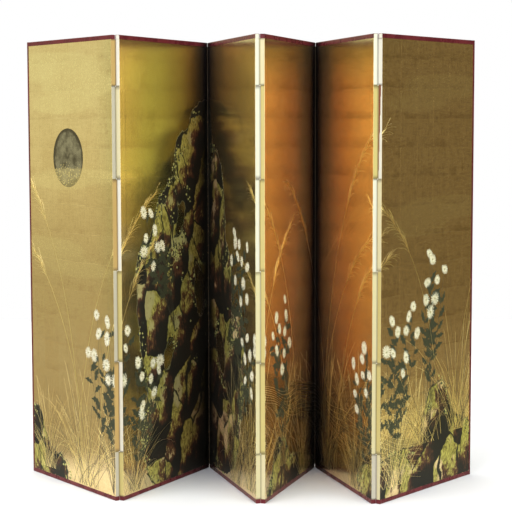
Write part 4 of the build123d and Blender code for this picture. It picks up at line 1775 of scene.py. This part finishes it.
@dataclass
class FoldStraps:
    """The six paper straps at one fold, which pass by turns round one edge or the other.

    A strap starts under the paper on one panel's face, goes round that panel's edge, and
    crosses the crease to lie on the far face of the next panel.

    Attributes:
        number: The fold's number, from the left.
        tail: How far a strap reaches under the papers.
        straight: How far from the edge it lies flat.
        sheet: How thick those papers are.
        ply: How thick a strap is.
        round: The radius that it turns a corner with.
        beyond: How far the crease lies behind the far face.
        slit: The gap between neighbouring straps at a fold that closes on the front.
        bend: Not used by the straps' shape.
        end_soil: How far soil reaches from a strap's end.
    """

    number: int
    left: PanelFrame
    right: PanelFrame
    tones: FoldTones
    tail: float = 36 * MM
    straight: float = 3 * MM
    sheet: float = 0.4 * MM
    ply: float = 0.6 * MM
    round: float = 0.9 * MM
    beyond: float = 0.85 * MM
    slit: float = 0.1 * MM
    bend: float = 0.12 * MM
    end_soil: float = 0.6 * MM
    rows: int = 25

    @property
    def nodes(self) -> tuple[str, str]:
        """The fixed nodes of the two panels' halves."""
        return tuple(f"fold_{self.number}_straps_on_panel_{n}" for n in (self.number, self.number + 1))

    def levels(self) -> Array:
        """The bottom and top of each strap, from the top strap down, read from the fixed node."""
        half = self.left.local(node_points(self.nodes[0]))
        return np.unique(np.round(half[:, 2], 5)).reshape(-1, 2)[::-1]

    def laps(self) -> Array:
        """The heights midway between neighbouring straps, from the top."""
        levels = self.levels()
        return (levels[:-1, 0] + levels[1:, 1]) / 2

    def build(self) -> bpy.types.Object:
        """Makes the fold's straps as one piece that bends at the crease.

        Returns:
            The piece.
        """
        halves = [panel.local(node_points(node)) for panel, node in zip((self.left, self.right), self.nodes)]
        thickness = self.left.thickness
        at_back = max(half[:, 1].max() for half in halves) > thickness
        parts = []
        levels = self.levels()
        spare = 0.0 if at_back else (levels[0, 0] - levels[1, 1] - self.slit) / 2
        for index, (low, high) in enumerate(levels):
            rows = halves[0][(halves[0][:, 2] > low - MM) & (halves[0][:, 2] < high + MM)]
            wraps_left = np.ptp(rows[:, 1]) > thickness / 2
            low = low - spare * (index < len(levels) - 1)
            high = high + spare * (index > 0)
            parts.append(self._strap(low, high, wraps_left, at_back, index))
        points, faces, stored = ThinBody.join(parts)
        made = piece(f"fold_{self.number}_straps", points, faces, EDGE_PAPER, sharp=0.9, stored=stored)
        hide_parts(*self.nodes)
        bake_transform(made)
        return made

    def _strap(self, low: float, high: float, wraps_left: bool, at_back: bool, index: int) -> ThinBody:
        """One strap, with soil at its ends and in the crease.

        Args:
            low: Its lowest height.
            high: Its highest height.
            wraps_left: Whether it goes round the left panel's edge.
            at_back: Whether the crease lies behind the panels.
            index: Its number from the top.

        Returns:
            The strap.
        """
        first, second = (self.left, self.right) if wraps_left else (self.right, self.left)
        near, far = self._plan_line(first.thickness, 0.0)
        inner_near, inner_far = self._plan_line(first.thickness, self.ply)
        z = np.linspace(low, high, self.rows)
        outer, inner = (
            np.concatenate([self._lay(first, start, wraps_left, at_back, z),
                            self._lay(second, end, not wraps_left, at_back, z)], axis=1)
            for start, end in ((near, far), (inner_near, inner_far)))
        gone = np.concatenate([[0.0], np.cumsum(np.linalg.norm(np.diff(near, axis=0), axis=1))])
        past_crease = gone[-1] + np.array([1.0, 3.0, 6.0, 40.0]) * MM
        gone = np.concatenate([gone, past_crease]) - self.tail
        edge_at = self.left.canvas_start() + self.left.width
        shape = (len(z), len(gone))
        end = np.minimum(z - low, high - z)[:, None]
        crease = np.abs(gone - (first.thickness + self.beyond - self.sheet))[None]
        reach, depth = (1.8 * MM, 0.75) if at_back else (6.0 * MM, 1.0)
        soil = np.maximum(0.85 * (end < self.end_soil), depth * np.clip(1.5 - crease / reach, 0.0, 1.0))
        canvas = np.stack(np.broadcast_arrays(edge_at + gone[None], z[:, None], 0.0), -1)
        tone = np.full(shape, self.tones.tone(wraps_left, np.array(index)))
        stored = {"canvas": canvas, "tone": tone, "soil": np.broadcast_to(soil, shape),
                  "lost": np.zeros(shape)}
        return ThinBody(outer, inner, stored)

    def _plan_line(self, thick: float, within: float) -> tuple[Array, Array]:
        """A strap's line in plan: distances in from the edge and depths from the starting face.

        It lies flat under the paper, turns a quarter circle at the corner, goes down the
        edge to the crease, and lies on the next panel's far face.

        Args:
            thick: The panels' thickness.
            within: How far inside the strap's outer skin it runs.

        Returns:
            The stretch on the first panel and the stretch on the second.
        """
        turn = np.linspace(0.0, math.pi / 2, 5)
        radius = self.round - within
        corner = np.stack([within + radius * (1 - np.sin(turn)),
                           self.sheet + within + radius * (1 - np.cos(turn))], -1)
        depth = np.linspace(self.sheet + self.round + 0.8 * MM, thick + self.beyond, 7)
        tail = np.array([[self.tail, self.sheet + within], [self.straight, self.sheet + within]])
        near = np.concatenate([tail, corner, np.stack([np.full_like(depth, within), depth], -1)])
        under = thick - self.sheet - (self.ply - within)
        far = np.array([[within, thick + self.beyond], [within, under], [self.straight, under],
                        [self.tail, under]])
        return near, far

    @staticmethod
    def _lay(panel: PanelFrame, line: Array, on_right_edge: bool, at_back: bool, z: Array) -> Array:
        """Stands a plan line up over the heights on the named edge of a panel.

        Args:
            panel: The panel.
            line: The line in plan, shaped (points, 2).
            on_right_edge: Whether it is the panel's right edge.
            at_back: Whether the strap starts on the panel's painted face.
            z: The heights.

        Returns:
            The points, shaped (heights, line, 3).
        """
        x = panel.width - line[:, 0] if on_right_edge else line[:, 0]
        y = line[:, 1] if at_back else panel.thickness - line[:, 1]
        grid_x, grid_z = np.broadcast_arrays(x[None], z[:, None])
        grid_y = np.broadcast_to(y[None], grid_x.shape)
        return panel.place(grid_x, grid_y, grid_z)


def fold_tones() -> tuple[FoldTones, ...]:
    """How each fold's edges have aged: the ones that stand outwards have been handled most.
    Inside the folds that close on the painted face they are near-black painted shade.

    Returns:
        The tones, from the left fold.
    """
    silver, white, cream, pale, tan, soot = EdgeTone
    # Inside these folds the straps and edges are painted shade.
    inner = FoldTones((soot,) * 6, (soot,) * 6)
    return (
        FoldTones((tan, silver, tan, silver, tan, silver), (white, cream, white, pale, white, pale),
                  papered_rails=(False, True)),
        inner,
        FoldTones((white, white, white, cream, cream, cream), (cream, pale, pale, pale, pale, cream),
                  papered_rails=(True, False)),
        inner,
        FoldTones((white, pale, white, cream, cream, silver), (white, white, cream, pale, pale, cream),
                  papered_rails=(True, True)),
    )


# ---- Fixed pieces ----


@dataclass(frozen=True)
class FixedPieces:
    """Dresses the fixed nodes whose shape is already right."""

    finishes: tuple[tuple[str, Finish], ...] = (
        ("_rail", LACQUER), ("_stile", LACQUER), ("_lattice", CEDAR),
        ("_underlay", PASTE_PAPER), ("_nails", NAIL_IRON),
    )

    def dress(self) -> int:
        """Gives each of those nodes its finish.

        Returns:
            How many there are.
        """
        count = 0
        for name, node in frame["nodes"].items():
            for ending, finish in self.finishes:
                if name.endswith(ending):
                    node.data.materials.clear()
                    node.data.materials.append(finish.material())
                    count += 1
        return count


# ---- Studio ----


@dataclass(frozen=True)
class Studio:
    """A white floor and surround, soft light, and the camera.

    Attributes:
        surround: How bright the surround is to the eye.
        spread: How wide the light overhead is, in degrees.
        key: How bright the surround is to either side of the place behind the camera.
        left: How bright it is far to the left.
        right: How bright it is far to the right.
        dark: How bright it is straight behind the camera.
    """

    eye: tuple[float, float, float] = (0.0238, -5.8080, 1.3914)
    pitch_down: float = 0.0909
    roll: float = -0.0020
    lens: float = 103.6
    reach: float = 5.0
    surround: float = 1.0
    overhead: float = 2.6
    spread: float = 95.0
    key: float = 2.8
    left: float = 0.77
    right: float = 0.168
    dark: float = 0.075

    def build(self) -> None:
        """Makes the floor, the surround, the lights and the camera."""
        self._floor()
        self._world()
        self._sky()
        self._camera()

    def _floor(self) -> None:
        """Makes a wide flat floor."""
        u, v = np.meshgrid((-self.reach, self.reach), (-self.reach, self.reach), indexing="xy")
        top = np.stack([u, v, np.zeros_like(u)], -1)[None]
        points, faces = solid_sheets(top, top - (0.0, 0.0, 0.01))
        floor = piece("floor", points, faces, FloorPaint("floor_paint"))

    def _world(self) -> None:
        """Light from the surround, by the turn from straight behind the camera, and white to the eye.

        It is dark straight behind the camera, bright to either side of it, and dim on the far
        left and the far right. Where it is dim it is warm.
        """
        world = bpy.data.worlds.new("surround")
        world.use_nodes = True
        bpy.context.scene.world = world
        graph = Graph(world.node_tree)
        x, y, z = graph.split(graph.node("TexCoord").outputs["Generated"])
        turn = graph.math("ARCTAN2", x, graph.times(y, -1.0))
        far_left = graph.span(z, -0.095, -0.015, self.left * 0.60, self.left * 1.03)
        sides = graph.span(turn, -1.5, -1.15, far_left, self.key)
        sides = graph.span(turn, 1.0, 1.45, sides, self.right)
        lit = graph.span(graph.math("ABSOLUTE", turn), 0.17, 0.39, self.dark, sides)
        tint = graph.mix(graph.span(turn, -0.2, 0.2), (1.0, 1.04, 0.97), (1.0, 1.13, 0.92))
        tint = graph.mix(graph.span(turn, 0.9, 1.5), tint, (1.0, 0.73, 0.29))
        left_tint = graph.mix(graph.span(z, -0.10, 0.06), (1.0, 0.90, 0.48), (0.96, 0.98, 0.60))
        tint = graph.mix(graph.span(turn, -1.5, -1.1), left_tint, tint)
        seen = graph.node("LightPath").outputs["Is Camera Ray"]
        colour = graph.mix(seen, tint, (1.0, 1.0, 1.0))
        strength = graph.mix_value(seen, lit, self.surround)
        background = graph.node("Background", {"Color": colour, "Strength": strength})
        graph.node("OutputWorld", {"Surface": background.outputs[0]})

    def _sky(self) -> None:
        """Makes a very wide light straight overhead, which keeps the floor white."""
        lamp = bpy.data.lights.new("overhead", "SUN")
        lamp.energy = self.overhead
        lamp.angle = math.radians(self.spread)
        made = bpy.data.objects.new("overhead", lamp)
        bpy.context.scene.collection.objects.link(made)

    def _camera(self) -> None:
        """Makes the camera, level but for a small tilt down."""
        camera = bpy.data.cameras.new("camera")
        camera.lens = self.lens
        camera.clip_end = 200.0
        made = bpy.data.objects.new("camera", camera)
        tilt = Euler((math.pi / 2 - self.pitch_down, 0.0, 0.0)).to_matrix()
        turn = (tilt @ Matrix.Rotation(self.roll, 3, "Z")).to_4x4()
        turn.translation = self.eye
        made.matrix_world = turn
        bpy.context.scene.collection.objects.link(made)
        bpy.context.scene.camera = made
        bpy.context.scene.view_settings.view_transform = "Standard"


@dataclass(frozen=True)
class FloorPaint(Finish):
    """Plain floor: pale to the eye, while it lights the screen less and less towards its sides."""

    pale: tuple[Colour, Colour] = ((0.68, 0.67, 0.77), (0.66, 0.65, 0.75))
    nearby: Colour = (0.72, 0.70, 0.68)
    rightward: tuple[Colour, Colour] = ((0.375, 0.350, 0.167), (0.118, 0.084, 0.034))
    leftward: Colour = (0.200, 0.165, 0.095)

    def draw(self, graph: Graph) -> Sockets:
        """Pale and faintly uneven to the eye. To the rest, its colour goes by the place across.

        Args:
            graph: The material's tree.

        Returns:
            The shader's inputs, by name.
        """
        place = graph.node("TexCoord").outputs["Object"]
        seen = graph.node("LightPath").outputs["Is Camera Ray"]
        pale = graph.mix(graph.noise(place, 3.0, 2.0), *self.pale)
        x, _, _ = graph.split(place)
        mirrored = graph.mix(graph.span(x, 1.7, 3.0), *self.rightward)
        mirrored = graph.mix(graph.span(x, 0.85, 1.25), self.nearby, mirrored)
        mirrored = graph.mix(graph.span(x, -1.3, -0.85), self.leftward, mirrored)
        return {"Base Color": graph.mix(seen, mirrored, pale), "Roughness": 0.6}


# ---- The whole ----


def main() -> None:
    """Builds the screen around the fixed frame, and the studio around the screen."""
    panels = [PanelFrame.read(number) for number in range(1, PANELS + 1)]
    plan = GardenPlan()
    garden = Garden(plan)
    garden.grow()
    folds = [FoldStraps(number, left, right, tones)
             for number, (left, right, tones) in enumerate(zip(panels, panels[1:], fold_tones()), start=1)]
    for fold in folds:
        made = fold.build()
        log.info("%s: %d faces", made.name, len(made.data.polygons))
    beside = [None, *(fold.tones for fold in folds), None]
    for panel, *tones in zip(panels, beside, beside[1:]):
        edges = EdgePapers(panel, tuple(tones), folds[0].laps())
        for made in (*PanelPapers(panel, plan).build(), edges.build(), *garden.hang(panel)):
            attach(made, panel.body)
            log.info("%s on %s: %d faces", made.name, panel.body, len(made.data.polygons))
    log.info("fixed pieces dressed: %d", FixedPieces().dress())
    Studio().build()


if __name__ == "__main__":
    main()
